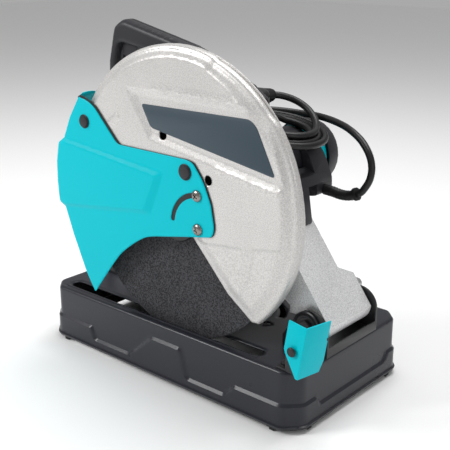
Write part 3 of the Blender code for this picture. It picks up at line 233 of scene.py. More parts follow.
def mesh_of(bm):
    mesh = bpy.data.meshes.new("mesh")
    bm.to_mesh(mesh)
    bm.free()
    return mesh


def bevel_edges(bm, width, segments, limit=30):
    edges = [e for e in bm.edges if len(e.link_faces) == 2 and e.calc_face_angle(0) > math.radians(limit)]
    bmesh.ops.bevel(bm, geom=edges, offset=width, segments=segments, profile=0.5, affect="EDGES",
                    clamp_overlap=True)


def refined(node, width=0.0006, segments=2, limit=32, slot=None):
    """A CAD node's own form with its flat faces cleaned and its edges rounded, standing for the node."""
    source = frame["nodes"][node].data
    bm = bmesh.new()
    corners = [bm.verts.new(v.co) for v in source.vertices]
    for polygon in source.polygons:
        bm.faces.new([corners[i] for i in polygon.vertices])
    bmesh.ops.remove_doubles(bm, verts=bm.verts, dist=0.00001)
    bmesh.ops.dissolve_limit(bm, angle_limit=math.radians(0.6), verts=bm.verts, edges=bm.edges)
    bevel_edges(bm, width, segments, limit)
    return shown(node + "_finished", bm, slot or SLOT_OF[node], BODY_OF[node], (node,), from_base=False)


def polar(centre, radius, degrees):
    """The point at an angle round a centre, from the first axis towards the second."""
    angle = math.radians(degrees)
    return centre[0] + radius * math.cos(angle), centre[1] + radius * math.sin(angle)


def arc(centre, radius, start, end, steps):
    return [polar(centre, radius, start + (end - start) * i / steps) for i in range(steps + 1)]


def circle(centre, radius, steps=24):
    return arc(centre, radius, 0, 360, steps)[:-1]


def eased(points, radius, steps=5, limit=14):
    """The closed outline with each real corner turned into a curve; gentle bends stay as they are."""
    result = []
    for i, corner in enumerate(points):
        here = Vector(corner)
        before = Vector(points[i - 1]) - here
        after = Vector(points[(i + 1) % len(points)]) - here
        if before.length < 1e-9 or after.length < 1e-9:
            continue
        if math.degrees(before.angle(-after)) < limit:
            result.append(tuple(here))
            continue
        reach = min(radius, before.length * 0.45, after.length * 0.45)
        start, end = here + before.normalized() * reach, here + after.normalized() * reach
        for k in range(steps + 1):
            t = k / steps
            result.append(tuple(start * (1 - t) ** 2 + here * 2 * t * (1 - t) + end * t ** 2))
    return result


def stepped(points, spacing, closed=True):
    """The same line with extra points so that none are further apart than the spacing."""
    result = []
    count = len(points) if closed else len(points) - 1
    for i in range(count):
        a, b = Vector(points[i]), Vector(points[(i + 1) % len(points)])
        pieces = max(1, math.ceil((b - a).length / spacing))
        result += [tuple(a.lerp(b, k / pieces)) for k in range(pieces)]
    return result if closed else result + [tuple(points[-1])]


def within(points, loop):
    """Which points lie inside a closed loop."""
    a = np.array(loop, float)
    b = np.roll(a, -1, axis=0)
    u, v = points[:, 0][:, None], points[:, 1][:, None]
    crossing = (a[:, 1] > v) != (b[:, 1] > v)
    rise = np.where(b[:, 1] == a[:, 1], 1.0, b[:, 1] - a[:, 1])
    reach = (b[:, 0] - a[:, 0]) * (v - a[:, 1]) / rise + a[:, 0]
    return (crossing & (u < reach)).sum(1) % 2 == 1


def distance(points, line, closed=True):
    """How far each point is from a line."""
    a = np.array(line, float)
    b = np.roll(a, -1, axis=0) if closed else a[1:]
    a = a if closed else a[:-1]
    run = b - a
    offset = points[:, None, :] - a[None]
    along = np.clip((offset * run).sum(-1) / np.maximum((run ** 2).sum(-1), 1e-18), 0, 1)
    return np.sqrt(((offset - along[..., None] * run) ** 2).sum(-1)).min(1)


def smooth(t):
    t = np.clip(t, 0, 1)
    return t * t * (3 - 2 * t)


def rolled(edge, radius):
    """Height of a rounded edge's profile: 0 at the edge, its radius once that far in."""
    sunk = np.clip(radius - edge, 0, radius)
    return np.sqrt(np.maximum(radius ** 2 - sunk ** 2, 0))


def pressed(flat, inner, outer):
    """How far up a pressed panel's slope each point is: 0 outside one outline, 1 inside the other."""
    to_inner, to_outer = distance(flat, inner), distance(flat, outer)
    share = to_outer / (to_inner + to_outer + 1e-9)
    share[within(flat, inner)] = 1
    share[~within(flat, outer)] = 0
    return share


def curve_between(a, b, c, d, steps):
    """Points on a smooth curve from b towards c, with a before it and d after it."""
    return [((b * 2) + (c - a) * t + (a * 2 - b * 5 + c * 4 - d) * t ** 2
             + (b * 3 - a - c * 3 + d) * t ** 3) / 2 for t in (k / steps for k in range(steps))]


def sheet(rim, place, holes=(), lines=(), spacing=0.0025):
    """A mesh over a flat outline. The rim, the holes and the crease lines keep their points, a grid
    fills the rest, and place() gives each flat point its place in space."""
    fixed, edges = [], []
    loops = [(rim, True)] + [(hole, True) for hole in holes] + [(line, False) for line in lines]
    for loop, closed in loops:
        first, count = len(fixed), len(loop)
        fixed += [tuple(p) for p in loop]
        edges += [(first + i, first + (i + 1) % count) for i in range(count if closed else count - 1)]
    outline = np.array(rim, float)
    low, high = outline.min(0), outline.max(0)
    rows = np.arange(low[1], high[1], spacing * 0.87)
    grid = np.array([(u + (spacing / 2 if k % 2 else 0), v) for k, v in enumerate(rows)
                     for u in np.arange(low[0], high[0], spacing)])
    keep = within(grid, rim) & (distance(grid, rim) > spacing * 0.5)
    for hole in holes:
        keep &= ~within(grid, hole) & (distance(grid, hole) > spacing * 0.4)
    for line in lines:
        keep &= distance(grid, line, False) > spacing * 0.35
    points = [Vector(p) for p in fixed] + [Vector(p) for p in grid[keep]]
    corners, _, faces = delaunay_2d_cdt(points, edges, [], 0, 1e-7)[:3]
    flat = np.array([tuple(c) for c in corners])
    middles = np.array([flat[list(face)].mean(0) for face in faces])
    good = within(middles, rim)
    for hole in holes:
        good &= ~within(middles, hole)
    bm = bmesh.new()
    verts = [bm.verts.new(p) for p in place(flat)]
    for face, wanted in zip(faces, good):
        if wanted:
            bm.faces.new([verts[i] for i in face])
    bmesh.ops.delete(bm, geom=[v for v in bm.verts if not v.link_faces], context="VERTS")
    return bm


def edge_vertices(bm, outline, digits=6):
    """The sheet's vertices at the (X, Z) points of an outline, in its order."""
    keyed = {(round(v.co.x, digits), round(v.co.z, digits)): v for v in bm.verts}
    return [keyed[(round(x, digits), round(z, digits))] for x, z in outline]


def bridge(bm, first, second, closed=True):
    """Faces between two rows of vertices."""
    for i in range(len(first) if closed else len(first) - 1):
        k = (i + 1) % len(first)
        bm.faces.new((first[i], first[k], second[k], second[i]))


def tube(rings):
    """A closed skin over rings of points."""
    bm = bmesh.new()
    rows = [[bm.verts.new(p) for p in ring] for ring in rings]
    for first, second in zip(rows, rows[1:]):
        bridge(bm, first, second)
    bm.faces.new(reversed(rows[0]))
    bm.faces.new(rows[-1])
    bmesh.ops.recalc_face_normals(bm, faces=bm.faces)
    return bm


def thicken(made, thickness):
    """Gives a sheet its thickness on its inner side."""
    modifier = made.modifiers.new("sheet", "SOLIDIFY")
    modifier.thickness = thickness
    modifier.offset = -1
    modifier.use_even_offset = True


def lathe(profile, steps=40):
    """A turned mesh around Z from (radius, z) pairs, which run so that the outside comes out."""
    bm = bmesh.new()
    rings = []
    for radius, z in profile:
        if radius < 1e-7:
            rings.append([bm.verts.new((0, 0, z))])
        else:
            rings.append([bm.verts.new((radius * math.cos(math.tau * i / steps),
                                        radius * math.sin(math.tau * i / steps), z)) for i in range(steps)])
    for first, second in zip(rings, rings[1:]):
        for i in range(steps):
            k = (i + 1) % steps
            corners = []
            for vert in (first[i % len(first)], first[k % len(first)], second[k % len(second)],
                         second[i % len(second)]):
                if vert not in corners:
                    corners.append(vert)
            if len(corners) > 2:
                bm.faces.new(corners)
    bmesh.ops.recalc_face_normals(bm, faces=bm.faces)
    return bm


def prism(outline, low, high, axis="Y"):
    """A flat outline between two places along an axis: (X, Z) points for Y, (X, Y) points for Z."""
    put = {"Y": lambda u, v, w: (u, w, v), "Z": lambda u, v, w: (u, v, w)}[axis]
    bm = bmesh.new()
    near = [bm.verts.new(put(u, v, low)) for u, v in outline]
    far = [bm.verts.new(put(u, v, high)) for u, v in outline]
    bm.faces.new(near)
    bm.faces.new(reversed(far))
    for i in range(len(outline)):
        k = (i + 1) % len(outline)
        bm.faces.new((near[k], near[i], far[i], far[k]))
    bmesh.ops.recalc_face_normals(bm, faces=bm.faces)
    return bm


def merged(*parts):
    """Several closed bodies in one mesh."""
    bm = bmesh.new()
    for part in parts:
        mesh = mesh_of(part)
        bm.from_mesh(mesh)
        bpy.data.meshes.remove(mesh)
    return bm


def carved(bm, cutters):
    """The mesh less the cutters."""
    scratch = linked("carved", mesh_of(bm))
    tools = []
    for cutter in cutters:
        tool = linked("cutter", mesh_of(cutter))
        tools.append(tool)
        modifier = scratch.modifiers.new("cut", "BOOLEAN")
        modifier.object = tool
        modifier.operation = "DIFFERENCE"
        modifier.solver = "EXACT"
    bpy.context.view_layer.update()
    result = bmesh.new()
    result.from_object(scratch, bpy.context.evaluated_depsgraph_get())
    for obj in (scratch, *tools):
        bpy.data.objects.remove(obj)
    return result


FACING = {  # turns +Z to the named direction
    "-Y": Matrix.Rotation(math.pi / 2, 4, "X"),
    "+Z": Matrix.Identity(4),
}


def set_at(bm, place, facing="+Z", turn=0.0):
    """Moves a mesh that was made around the origin, +Z outwards, to its place."""
    matrix = Matrix.Translation(place) @ FACING[facing] @ Matrix.Rotation(turn, 4, "Z")
    bmesh.ops.transform(bm, matrix=matrix, verts=bm.verts)
    return bm


def hex_head(radius, height):
    """A hexagon bolt head with its edges rounded, on a washer."""
    thick, edge = 0.0012, 0.0003
    head = prism(circle((0, 0), radius, 6), thick, height, "Z")
    bevel_edges(head, radius * 0.09, 2)
    wide = radius * 1.25
    return merged(head, lathe([(0, 0), (wide, 0), (wide, thick - edge), (wide - edge, thick), (0, thick)],
                              28))


def cross_screw(radius, height):
    """A button head screw with a cross recess."""
    dome = [(0, 0), (radius, 0), (radius, height * 0.18)]
    dome += [(radius * math.cos(math.radians(a)), height * (0.18 + 0.82 * math.sin(math.radians(a))))
             for a in (15, 30, 45, 58, 70, 80)] + [(0, height)]
    long, thin = radius * 0.52, radius * 0.11
    arms = [prism([(-u, -v), (u, -v), (u, v), (-u, v)], height * 0.45, height * 1.5, "Z")
            for u, v in ((long, thin), (thin, long))]
    return carved(lathe(dome, 32), arms)


# ---- the fixed guard ----
def meet(point, direction, centre, radius, forward=True):
    """Where a straight line crosses a circle, on its far or its near side."""
    run = Vector(direction).normalized()
    offset = Vector(point) - Vector(centre)
    along = offset.dot(run)
    root = math.sqrt(max(0.0, along ** 2 - offset.length_squared + radius ** 2))
    return Vector(point) + run * (-along + (root if forward else -root))


def angle_about(centre, point):
    return math.degrees(math.atan2(point[1] - centre[1], point[0] - centre[0]))


OPEN_EDGE = ((0.0526, 0.2270), (0.1160, 0.1600), (0.1580, 0.1310))   # the guard's edge over the bare wheel
ARBOR_RADIUS = 0.0430      # its opening round the wheel bolt
RIM_START, RIM_PIECES = 165, 140
RIM_STEPS = ((-60, 0), (12, 0), (15, 1.0), (36, 1.0), (41, -2.6), (70, -2.6), (72, 0),
             (170, 0))                            # degrees, mm
GUARD_EDGE_Y, GUARD_FACE_Y = -0.1165, -0.1231     # the guard's outer band and its raised face
COVER_BACK = -0.1062                              # where its side wall ends
GUARD_THICK = 0.0020
RIM_ROLL = 0.0055                                 # radius of its rounded outer edge
CORNER_EASE = 0.006
RECESS_DEPTH = 0.0027
RIDGE_WIDTH, RIDGE_HEIGHT = 0.0110, 0.0009        # the low ridge round the recess
SLOPE_START = 0.0070                              # width of the outer band
SLOPE_REACH = ((-60, 22.8), (10, 22.8), (35, 21), (51, 20.4), (59, 17.3), (66, 16), (72, 13.7), (102, 15.8),
               (170, 16))                         # degrees round the guard, mm in to the raised face
RECESS_FLOOR = ((-0.0394, 0.4086), (0.1629, 0.4085), (0.1750, 0.3990), (0.2010, 0.3285), (0.1950, 0.3262),
                (-0.0106, 0.3596))
RECESS_EDGE = ((-0.0624, 0.4175), (0.1640, 0.4150), (0.1830, 0.4000), (0.2085, 0.3235), (0.2000, 0.3170),
               (-0.0159, 0.3500))
CREASE = ((0.0400, 0.2235), (0.1439, 0.2350), (0.2036, 0.2455), (0.2500, 0.2560))
CREASE_WIDTH, CREASE_DEPTH = 0.0045, 0.0019
RIB_INNER, RIB_OUTER = 0.1275, 0.1510             # radii round the spindle of the curved rib
RIB_SLOPE, RIB_HEIGHT = 0.0035, 0.0012
TAB = ((-0.0980, 0.3625), (-0.0780, 0.3805), (-0.0698, 0.3721), (-0.0895, 0.3543))
TAB_HEIGHT = 0.0011


def rim_arc(inset, end):
    """The guard's round rim, pressed in a little over the top and out over the label's end."""
    points = []
    for k in range(RIM_PIECES + 1):
        angle = RIM_START + (end - RIM_START) * k / RIM_PIECES
        radius = GUARD_RADIUS - inset + float(np.interp(angle, *zip(*RIM_STEPS))) / 1000
        points.append(polar(GUARD, radius, angle))
    return points


def guard_outline(inset=0.0):
    """The guard cover seen from the wheel side, every side moved in by the inset."""
    top, bend, tip = (Vector(corner) for corner in OPEN_EDGE)
    upper, lower = (top - bend).normalized(), (tip - bend).normalized()
    bend = bend + (Vector((upper.y, -upper.x)) + Vector((-lower.y, lower.x))).normalized() * inset
    corner = meet(bend, lower, GUARD, GUARD_RADIUS - inset)
    arbor = ARBOR_RADIUS + inset * 0.7
    side = meet(bend, upper, SPINDLE, arbor, False)
    return (rim_arc(inset, angle_about(GUARD, corner) + 2)
            + [tuple(corner.lerp(bend, 0.12)), tuple(bend)]
            + arc(SPINDLE, arbor, angle_about(SPINDLE, side), 150, 20)
            + [(-0.0600, 0.2700 + inset), (-0.1100, 0.2850 + inset)])


def guard_height(flat):
    """Height of the stamped face over the guard's outer band."""
    edge = distance(flat, guard_outline())
    height = -(RIM_ROLL - rolled(edge, RIM_ROLL))
    angles = np.degrees(np.arctan2(flat[:, 1] - GUARD[1], flat[:, 0] - GUARD[0]))
    reach = np.interp(angles, *zip(*SLOPE_REACH)) / 1000
    raised = np.clip((edge - SLOPE_START) / (reach - SLOPE_START), 0, 1)
    raised = raised * 0.75 + 0.25 * smooth(raised)
    face = np.full(len(flat), GUARD_EDGE_Y - GUARD_FACE_Y)
    ridge = smooth(1 - distance(flat, RECESS_EDGE) / RIDGE_WIDTH) * (~within(flat, RECESS_EDGE))
    ridge *= (flat[:, 0] > -0.010) & ((flat[:, 0] > 0.10) | (flat[:, 1] > 0.36))
    face += RIDGE_HEIGHT * ridge
    face -= RECESS_DEPTH * pressed(flat, RECESS_FLOOR, RECESS_EDGE)
    crease = np.interp(flat[:, 0], *zip(*CREASE))
    below = smooth((crease - flat[:, 1]) / CREASE_WIDTH)
    radius = np.hypot(flat[:, 0] - SPINDLE[0], flat[:, 1] - SPINDLE[1])
    rib = smooth((radius - RIB_INNER) / RIB_SLOPE) * smooth((RIB_OUTER - radius) / RIB_SLOPE)
    face -= below * (CREASE_DEPTH - RIB_HEIGHT * rib)
    face += TAB_HEIGHT * (within(flat, TAB) * smooth(distance(flat, TAB) / 0.0015))
    return height + face * raised


def guard_cover():
    """The pressed cover over the wheel, with its rolled rim and a short side wall."""
    def place(flat):
        return [(x, GUARD_EDGE_Y - h, z) for (x, z), h in zip(flat, guard_height(flat))]

    rim = eased(guard_outline(), CORNER_EASE)
    lines = []
    for inset in (0.0007, 0.0020, 0.0040, 0.0060, 0.0110, 0.0145, 0.0180):
        loop = stepped(eased(guard_outline(inset), CORNER_EASE), 0.004)
        lines.append(loop + loop[:1])
    lines += [stepped(loop, 0.003) + [loop[0]] for loop in (RECESS_FLOOR, RECESS_EDGE, TAB)]
    for drop in (0.0, CREASE_WIDTH):
        crease = [(x, z - drop) for x, z in stepped(CREASE, 0.003, False)]
        lines.append([p for p in crease if within(np.array([p]), guard_outline(0.001))[0]])
    holes = [circle((0.0081, 0.3599), 0.0070, 24), circle((0.0902, 0.3126), 0.0067, 24),
             circle(PIVOT_SCREW, SCREW_HOLE, 14), circle(CLAMP_SCREW, SCREW_HOLE, 14)]
    bm = sheet(rim, place, holes, lines)
    before = edge_vertices(bm, rim, 5)
    for y in (GUARD_EDGE_Y + RIM_ROLL + 0.0015, COVER_BACK - 0.0015, COVER_BACK):
        row = [bm.verts.new((x, y, z)) for x, z in rim]
        bridge(bm, before, row)
        before = row
    bmesh.ops.recalc_face_normals(bm, faces=bm.faces)
    if sum(f.normal.y * f.calc_area() for f in bm.faces) > 0:
        bmesh.ops.reverse_faces(bm, faces=bm.faces)
    made = shown("guard_cover_pressed", bm, "silver_paint", "arm", ("guard_cover",), sharp=60)
    thicken(made, GUARD_THICK)


def guard_label():
    """The label on the floor of the pressed recess, without any lettering."""
    outline = eased([(-0.0310, 0.3966), (0.1557, 0.3998), (0.1666, 0.3919), (0.1960, 0.3336),
                     (-0.0140, 0.3665)], CORNER_EASE, 6)
    floor_y = GUARD_FACE_Y + RECESS_DEPTH
    bm = prism(outline, floor_y - 0.0007, floor_y + 0.0002)
    bevel_edges(bm, 0.0002, 2)
    shown("guard_label_plate", bm, "slate", "arm", ("guard_label",))


# ---- the front guard ----
PLATE_OUTLINE = (  # the folded left edge from the top lip down to the tip, then the flat plate's free edge
    (-0.1540, 0.3935), (-0.1770, 0.3598), (-0.1920, 0.3283), (-0.2050, 0.3194), (-0.2113, 0.2904),
    (-0.2126, 0.2595), (-0.2100, 0.2263), (-0.1980, 0.2202), (-0.1820, 0.1787), (-0.1580, 0.1266),
    (-0.1373, 0.0989), (-0.0877, 0.1624), (-0.0605, 0.1878), (-0.0285, 0.2088), (-0.0043, 0.2167),
    (0.0560, 0.2296), (0.0980, 0.2380), (0.1020, 0.2500), (0.0963, 0.2815), (0.0838, 0.3097),
    (0.0663, 0.3313), (0.0557, 0.3345), (-0.0717, 0.3350), (-0.0785, 0.3372), (-0.1195, 0.3790),
    (-0.1300, 0.3860),
)
FOLDED = 10                # how many of those corners lie on the folded edge
PLATE_THICK = 0.0012
FOLD_RADIUS = 0.0030
FOLD_BACK = -0.0855
PANEL_TOP = ((-0.2080, 0.3236), (-0.0013, 0.3027), (-0.0254, 0.2518), (-0.2080, 0.2255))
PANEL_FOOT = ((-0.2110, 0.3300), (0.0125, 0.3097), (-0.0140, 0.2462), (-0.2110, 0.2190))
PANEL_RISE = 0.0034
BUFFERS = (("guard_buffer_front", (-0.1430, 0.3580), 0.0088), ("guard_buffer_rear", (0.0525, 0.3178), 0.0098))


def bow(points):
    """The plate's lower free edge as one smooth curve, the rest as it is."""
    curve = points[FOLDED:FOLDED + 5]
    ends = [curve[0]] + list(curve) + [curve[-1]]
    smoothed = []
    for i in range(1, len(ends) - 2):
        smoothed += [tuple(p) for p in curve_between(*(Vector(q) for q in ends[i - 1:i + 3]), 8)]
    return list(points[:FOLDED]) + smoothed + list(points[FOLDED + 4:])


def front_guard():
    """The folded sheet with its pressed panel and its side wall, and a thin dark sheet behind it whose rim is
    painted shadow for the gap and the plate's shaded edge.
    """
    outline = bow(PLATE_OUTLINE)
    fold = stepped(outline[:FOLDED], 0.004, False)
    free = stepped(eased(outline[FOLDED - 1:] + outline[:1], 0.009)[6:-6], 0.004, False)
    rim = fold + free

    def place(flat):
        edge = distance(flat, fold, False)
        y = PLATE_FACE + FOLD_RADIUS - rolled(edge, FOLD_RADIUS)
        y -= PANEL_RISE * pressed(flat, PANEL_TOP, PANEL_FOOT) * smooth(edge / 0.006)
        return [(x, depth, z) for (x, z), depth in zip(flat, y)]

    swing, half, first, last = 0.0456, 0.0036, 88, 172
    slot = (arc(PIVOT_SCREW, swing + half, first, last, 22)
            + arc(polar(PIVOT_SCREW, swing, last), half, last, last + 180, 8)[1:-1]
            + arc(PIVOT_SCREW, swing - half, last, first, 22)
            + arc(polar(PIVOT_SCREW, swing, first), half, first + 180, first + 360, 8)[1:-1])
    holes = [slot, circle(PIVOT_SCREW, SCREW_HOLE, 14)]
    holes += [circle(place, 0.0043, 14) for _, place, _ in BUFFERS]
    inset_fold = [[tuple(Vector(p) + Vector((math.cos(a), math.sin(a))) * inset) for p, a in
                   ((p, math.atan2(0.26 - p[1], 0.02 - p[0])) for p in fold[1:-1])]
                  for inset in (0.0010, 0.0022, 0.0036)]
    panel = [[p for p in stepped(loop, 0.003) if within(np.array([p]), rim)[0]
              and distance(np.array([p]), rim)[0] > 0.0045] for loop in (PANEL_TOP, PANEL_FOOT)]
    bm = sheet(rim, place, holes, inset_fold + panel)
    wall_rows = 8
    start = PLATE_FACE + FOLD_RADIUS
    upward = (Vector(fold[0]) - Vector(fold[1])).normalized()
    before = edge_vertices(bm, fold)
    for k in range(1, wall_rows + 1):
        y = start + (FOLD_BACK - start) * k / wall_rows
        flare = upward * 0.0045 * math.sin(math.pi * min(1.0, k / wall_rows + 0.12)) ** 0.6
        row = [bm.verts.new((fold[0][0] + flare.x, y, fold[0][1] + flare.y))]
        row += [bm.verts.new((x, y, z)) for x, z in fold[1:]]
        bridge(bm, before, row, closed=False)
        before = row
    made = shown("front_guard_folded", bm, "teal_paint", "front_guard", ("front_guard",), sharp=50)
    thicken(made, PLATE_THICK)
    # A thin black sheet just behind the plate that stands out past its top and right edges: painted shadow
    # for the gap between plate and cover and for the plate's shaded side edge.
    edge = [(-0.1560, 0.3930), (-0.1560, 0.3500), (-0.0600, 0.3100), (0.0300, 0.2340), (0.0985, 0.2370),
            (0.1035, 0.2500), (0.0979, 0.2824), (0.0853, 0.3107), (0.0675, 0.3328), (0.0560, 0.3349),
            (-0.0700, 0.3354), (-0.0758, 0.3392), (-0.1168, 0.3816), (-0.1280, 0.3888), (-0.1480, 0.3948)]
    shadow_strip = prism(eased(edge, CORNER_EASE), -0.1246, -0.1241)
    made = carved(shadow_strip, [prism(circle(PIVOT_SCREW, 0.0040, 14), -0.13, -0.12)])
    shown("front_guard_painted_shadow", made, "rubber", "front_guard")


def guard_fittings():
    """Cross-recess screws, and the domed rubber plugs in their dark rings."""
    for node, place, turn in (("front_guard_pivot_screw", PIVOT_SCREW, 0.4),
                              ("front_guard_clamp_screw", CLAMP_SCREW, 1.0)):
        head = cross_screw(0.0080, 0.0042)
        shank = lathe([(0, -0.010), (0.0028, -0.010), (0.0028, 0.0006), (0, 0.0006)], 16)
        made = set_at(merged(head, shank), (place[0], PLATE_FACE - 0.0003, place[1]), "-Y", turn)
        shown(node + "_head", made, "steel", "arm", (node,), look="dark_steel")
    for node, place, radius in BUFFERS:
        ring = radius + 0.0012
        profile = [(0, -0.0035), (0.0038, -0.0035), (0.0038, 0.0), (ring, 0.0), (ring, 0.0008),
                   (radius + 0.0003, 0.0012), (radius, 0.0008), (radius - 0.0003, 0.0022),
                   (radius * 0.88, 0.0031), (radius * 0.55, 0.0036), (0, 0.0038)]
        made = set_at(lathe(profile, 36), (place[0], PLATE_FACE - 0.0003, place[1]), "-Y")
        shown(node + "_plug", made, "black_plastic", "front_guard", (node,))


# ---- the base pan ----
PAN_X, PAN_Y, PAN_CORNER = 0.239, 0.1292, 0.020
PAN_ROLL = 0.0045          # radius between the walls and the deck
PAN_LOW = 0.006
PAN_THICK = 0.0022
PAN_LIP = ((0.0060, 0.0075, 0.0090, 0.0100, 0.0112),       # heights, and how far the lip stands out there
           (0.0008, 0.0016, 0.0023, 0.0026, 0.0))
SKIRT_OUT = 0.0034         # how far the skirt stands out
SKIRT_SOFT = 0.0018        # half the height that its upper edge slopes over
SKIRT_CORNER = 0.0400      # that edge's height round the corners, and along X and Y as (place, height)
SKIRT_LONG = ((-0.1444, 0.0400), (-0.137, 0.0215), (-0.062, 0.0215), (-0.0440, 0.0360), (-0.0137, 0.0630),
              (0.0437, 0.0630), (0.0510, 0.0340), (0.0545, 0.0215), (0.124, 0.0215), (0.1400, 0.0400))
SKIRT_SHORT = ((-0.080, 0.0400), (-0.078, 0.0280), (0.082, 0.0280), (0.092, 0.0400))
SLOT_FRONT, SLOT_REAR, SLOT_MIDDLE, SLOT_HALF = -0.2041, 0.1581, -0.1024, 0.0099
GROOVE_Y, GROOVE_START, GROOVE_END = -0.1185, -0.215, 0.168
FENCE_PIVOT = (0.052, -0.020)


def pan_ring():
    """Points round the pan seen from above, anticlockwise from the near rear corner."""
    x, y, c = PAN_X, PAN_Y, PAN_CORNER
    corners = [(x, -y + c), (x, y - c), (x - c, y), (-x + c, y), (-x, y - c), (-x, -y + c), (-x + c, -y),
               (x - c, -y)]
    return stepped(eased(corners, 0.006, 6), 0.004)


def slot_ring(grow=0.0):
    """The wheel slot's outline, moved out by so much."""
    half = SLOT_HALF + grow
    return stepped(arc((SLOT_FRONT, SLOT_MIDDLE), half, 90, 270, 10)
                   + arc((SLOT_REAR, SLOT_MIDDLE), half, -90, 90, 10), 0.004)


def base_pan():
    """The pressed pan: its wall is a sheet laid out flat and wrapped round the ring, and its deck is
    another; a rolled edge joins the two."""
    ring = pan_ring()
    lengths = np.cumsum([0.0] + [(Vector(q) - Vector(p)).length for p, q in zip(ring, ring[1:] + ring[:1])])
    total = lengths[-1]
    steps = []
    for length, (x, y) in zip(lengths, ring + ring[:1]):
        height = SKIRT_CORNER
        if abs(abs(y) - PAN_Y) < 1e-5:
            height = float(np.interp(x, *zip(*SKIRT_LONG)))
        elif abs(abs(x) - PAN_X) < 1e-5:
            height = float(np.interp(y, *zip(*SKIRT_SHORT)))
        steps.append((length, height))
    fine = stepped(steps, 0.0025, False)
    line_up = [(s, z + SKIRT_SOFT) for s, z in fine if 0 < s < total]
    line_down = [(s, z - SKIRT_SOFT) for s, z in fine if 0 < s < total]
    top = DECK - PAN_ROLL
    seam = sorted([*PAN_LIP[0][1:], SKIRT_CORNER - SKIRT_SOFT, SKIRT_CORNER, SKIRT_CORNER + SKIRT_SOFT,
                   *np.arange(0.015, SKIRT_CORNER - 0.003, 0.0035),
                   *np.arange(SKIRT_CORNER + 0.005, top - 0.002, 0.0035)])
    s_ring = [(s, PAN_LOW) for s in lengths] + [(total, z) for z in seam]
    s_ring += [(s, top) for s in lengths[::-1]] + [(0.0, z) for z in reversed(seam)]
    at = np.array(ring + ring[:1])
    normals = []
    for i in range(len(ring)):
        run = Vector(ring[(i + 1) % len(ring)]) - Vector(ring[i - 1])
        normals.append(Vector((run.y, -run.x)).normalized())
    normals = np.array([tuple(n) for n in normals + normals[:1]])

    def wall(flat):
        s, z = flat[:, 0], flat[:, 1]
        step = np.interp(s, *zip(*steps))
        away = distance(flat, steps, False) * np.where(z < step, 1, -1)
        out = SKIRT_OUT * np.clip((away + SKIRT_SOFT) / (2 * SKIRT_SOFT), 0, 1)
        out += np.interp(z, *PAN_LIP)
        x = np.interp(s, lengths, at[:, 0]) + out * np.interp(s, lengths, normals[:, 0])
        y = np.interp(s, lengths, at[:, 1]) + out * np.interp(s, lengths, normals[:, 1])
        return [(a, b, c) for a, b, c in zip(x, y, z)]

    lines = [line_up, line_down] + [[(s, z) for s in lengths[1:-1]] for z in PAN_LIP[0][1:]]
    bm = sheet(s_ring, wall, (), lines, 0.0035)
    inner = [(x - n[0] * PAN_ROLL, y - n[1] * PAN_ROLL) for (x, y), n in zip(ring, normals)]
    groove = ((GROOVE_START, GROOVE_Y), (GROOVE_END, GROOVE_Y))
    fence_slot = arc(FENCE_PIVOT, 0.0725, 20, 75, 12) + arc(FENCE_PIVOT, 0.0635, 75, 20, 12)
    holes = [slot_ring(), circle((0.1125, -0.026), 0.0062, 18), stepped(fence_slot, 0.004)]

    def deck(flat):
        edge = distance(flat, groove, False)
        z = DECK - 0.0011 * smooth((0.0016 - edge) / 0.0012)
        z -= 0.0014 * smooth((0.0035 - distance(flat, holes[0])) / 0.0030)
        return [(x, y, float(h)) for (x, y), h in zip(flat, z)]

    lines = [[(x, GROOVE_Y + dy) for x in np.arange(GROOVE_START - 0.001, GROOVE_END + 0.001, 0.004)]
             for dy in (-0.0016, 0.0, 0.0016)]
    for grow in (0.0012, 0.0036):
        around = slot_ring(grow)
        lines.append(around + around[:1])
    top_bm = sheet(inner, deck, holes, lines, 0.0055)
    both = merged(bm, top_bm)
    rows = 5
    before = [both.verts.new((x, y, top)) for x, y in ring]
    for k in range(1, rows + 1):
        angle = math.pi / 2 * k / rows
        inset = PAN_ROLL * (1 - math.cos(angle))
        height = top + PAN_ROLL * math.sin(angle)
        row = [both.verts.new((x - n[0] * inset, y - n[1] * inset, height))
               for (x, y), n in zip(ring, normals)]
        bridge(both, before, row)
        before = row
    bmesh.ops.remove_doubles(both, verts=both.verts, dist=0.00002)
    made = shown("base_pan_pressed", both, "base_paint", "base", ("base_pan",), sharp=30)
    thicken(made, PAN_THICK)


# ---- the handle ----
HANDLE_OUTLINE = (
    (-0.1480, 0.3760), (-0.1520, 0.4050), (-0.1505, 0.4370), (-0.1375, 0.4880), (-0.1190, 0.4985),
    (-0.0300, 0.4790), (0.0100, 0.4700), (0.0450, 0.4570), (0.0810, 0.4410), (0.1070, 0.4270),
    (0.1310, 0.4110), (0.1280, 0.3950), (0.1050, 0.3640), (0.0690, 0.3520), (0.0470, 0.3500),
    (-0.0260, 0.3170), (-0.0600, 0.3330), (-0.1250, 0.3600),
)
HANDLE_OPENING = (
    (-0.1335, 0.3960), (-0.1325, 0.4400), (-0.1275, 0.4645), (-0.0450, 0.4505), (-0.0350, 0.4300),
    (-0.0450, 0.3850), (-0.1200, 0.3740),
)
HANDLE_Y, HANDLE_HALF = -0.057, 0.014
HANDLE_ROUND, HANDLE_WALL = 0.0085, 0.0030


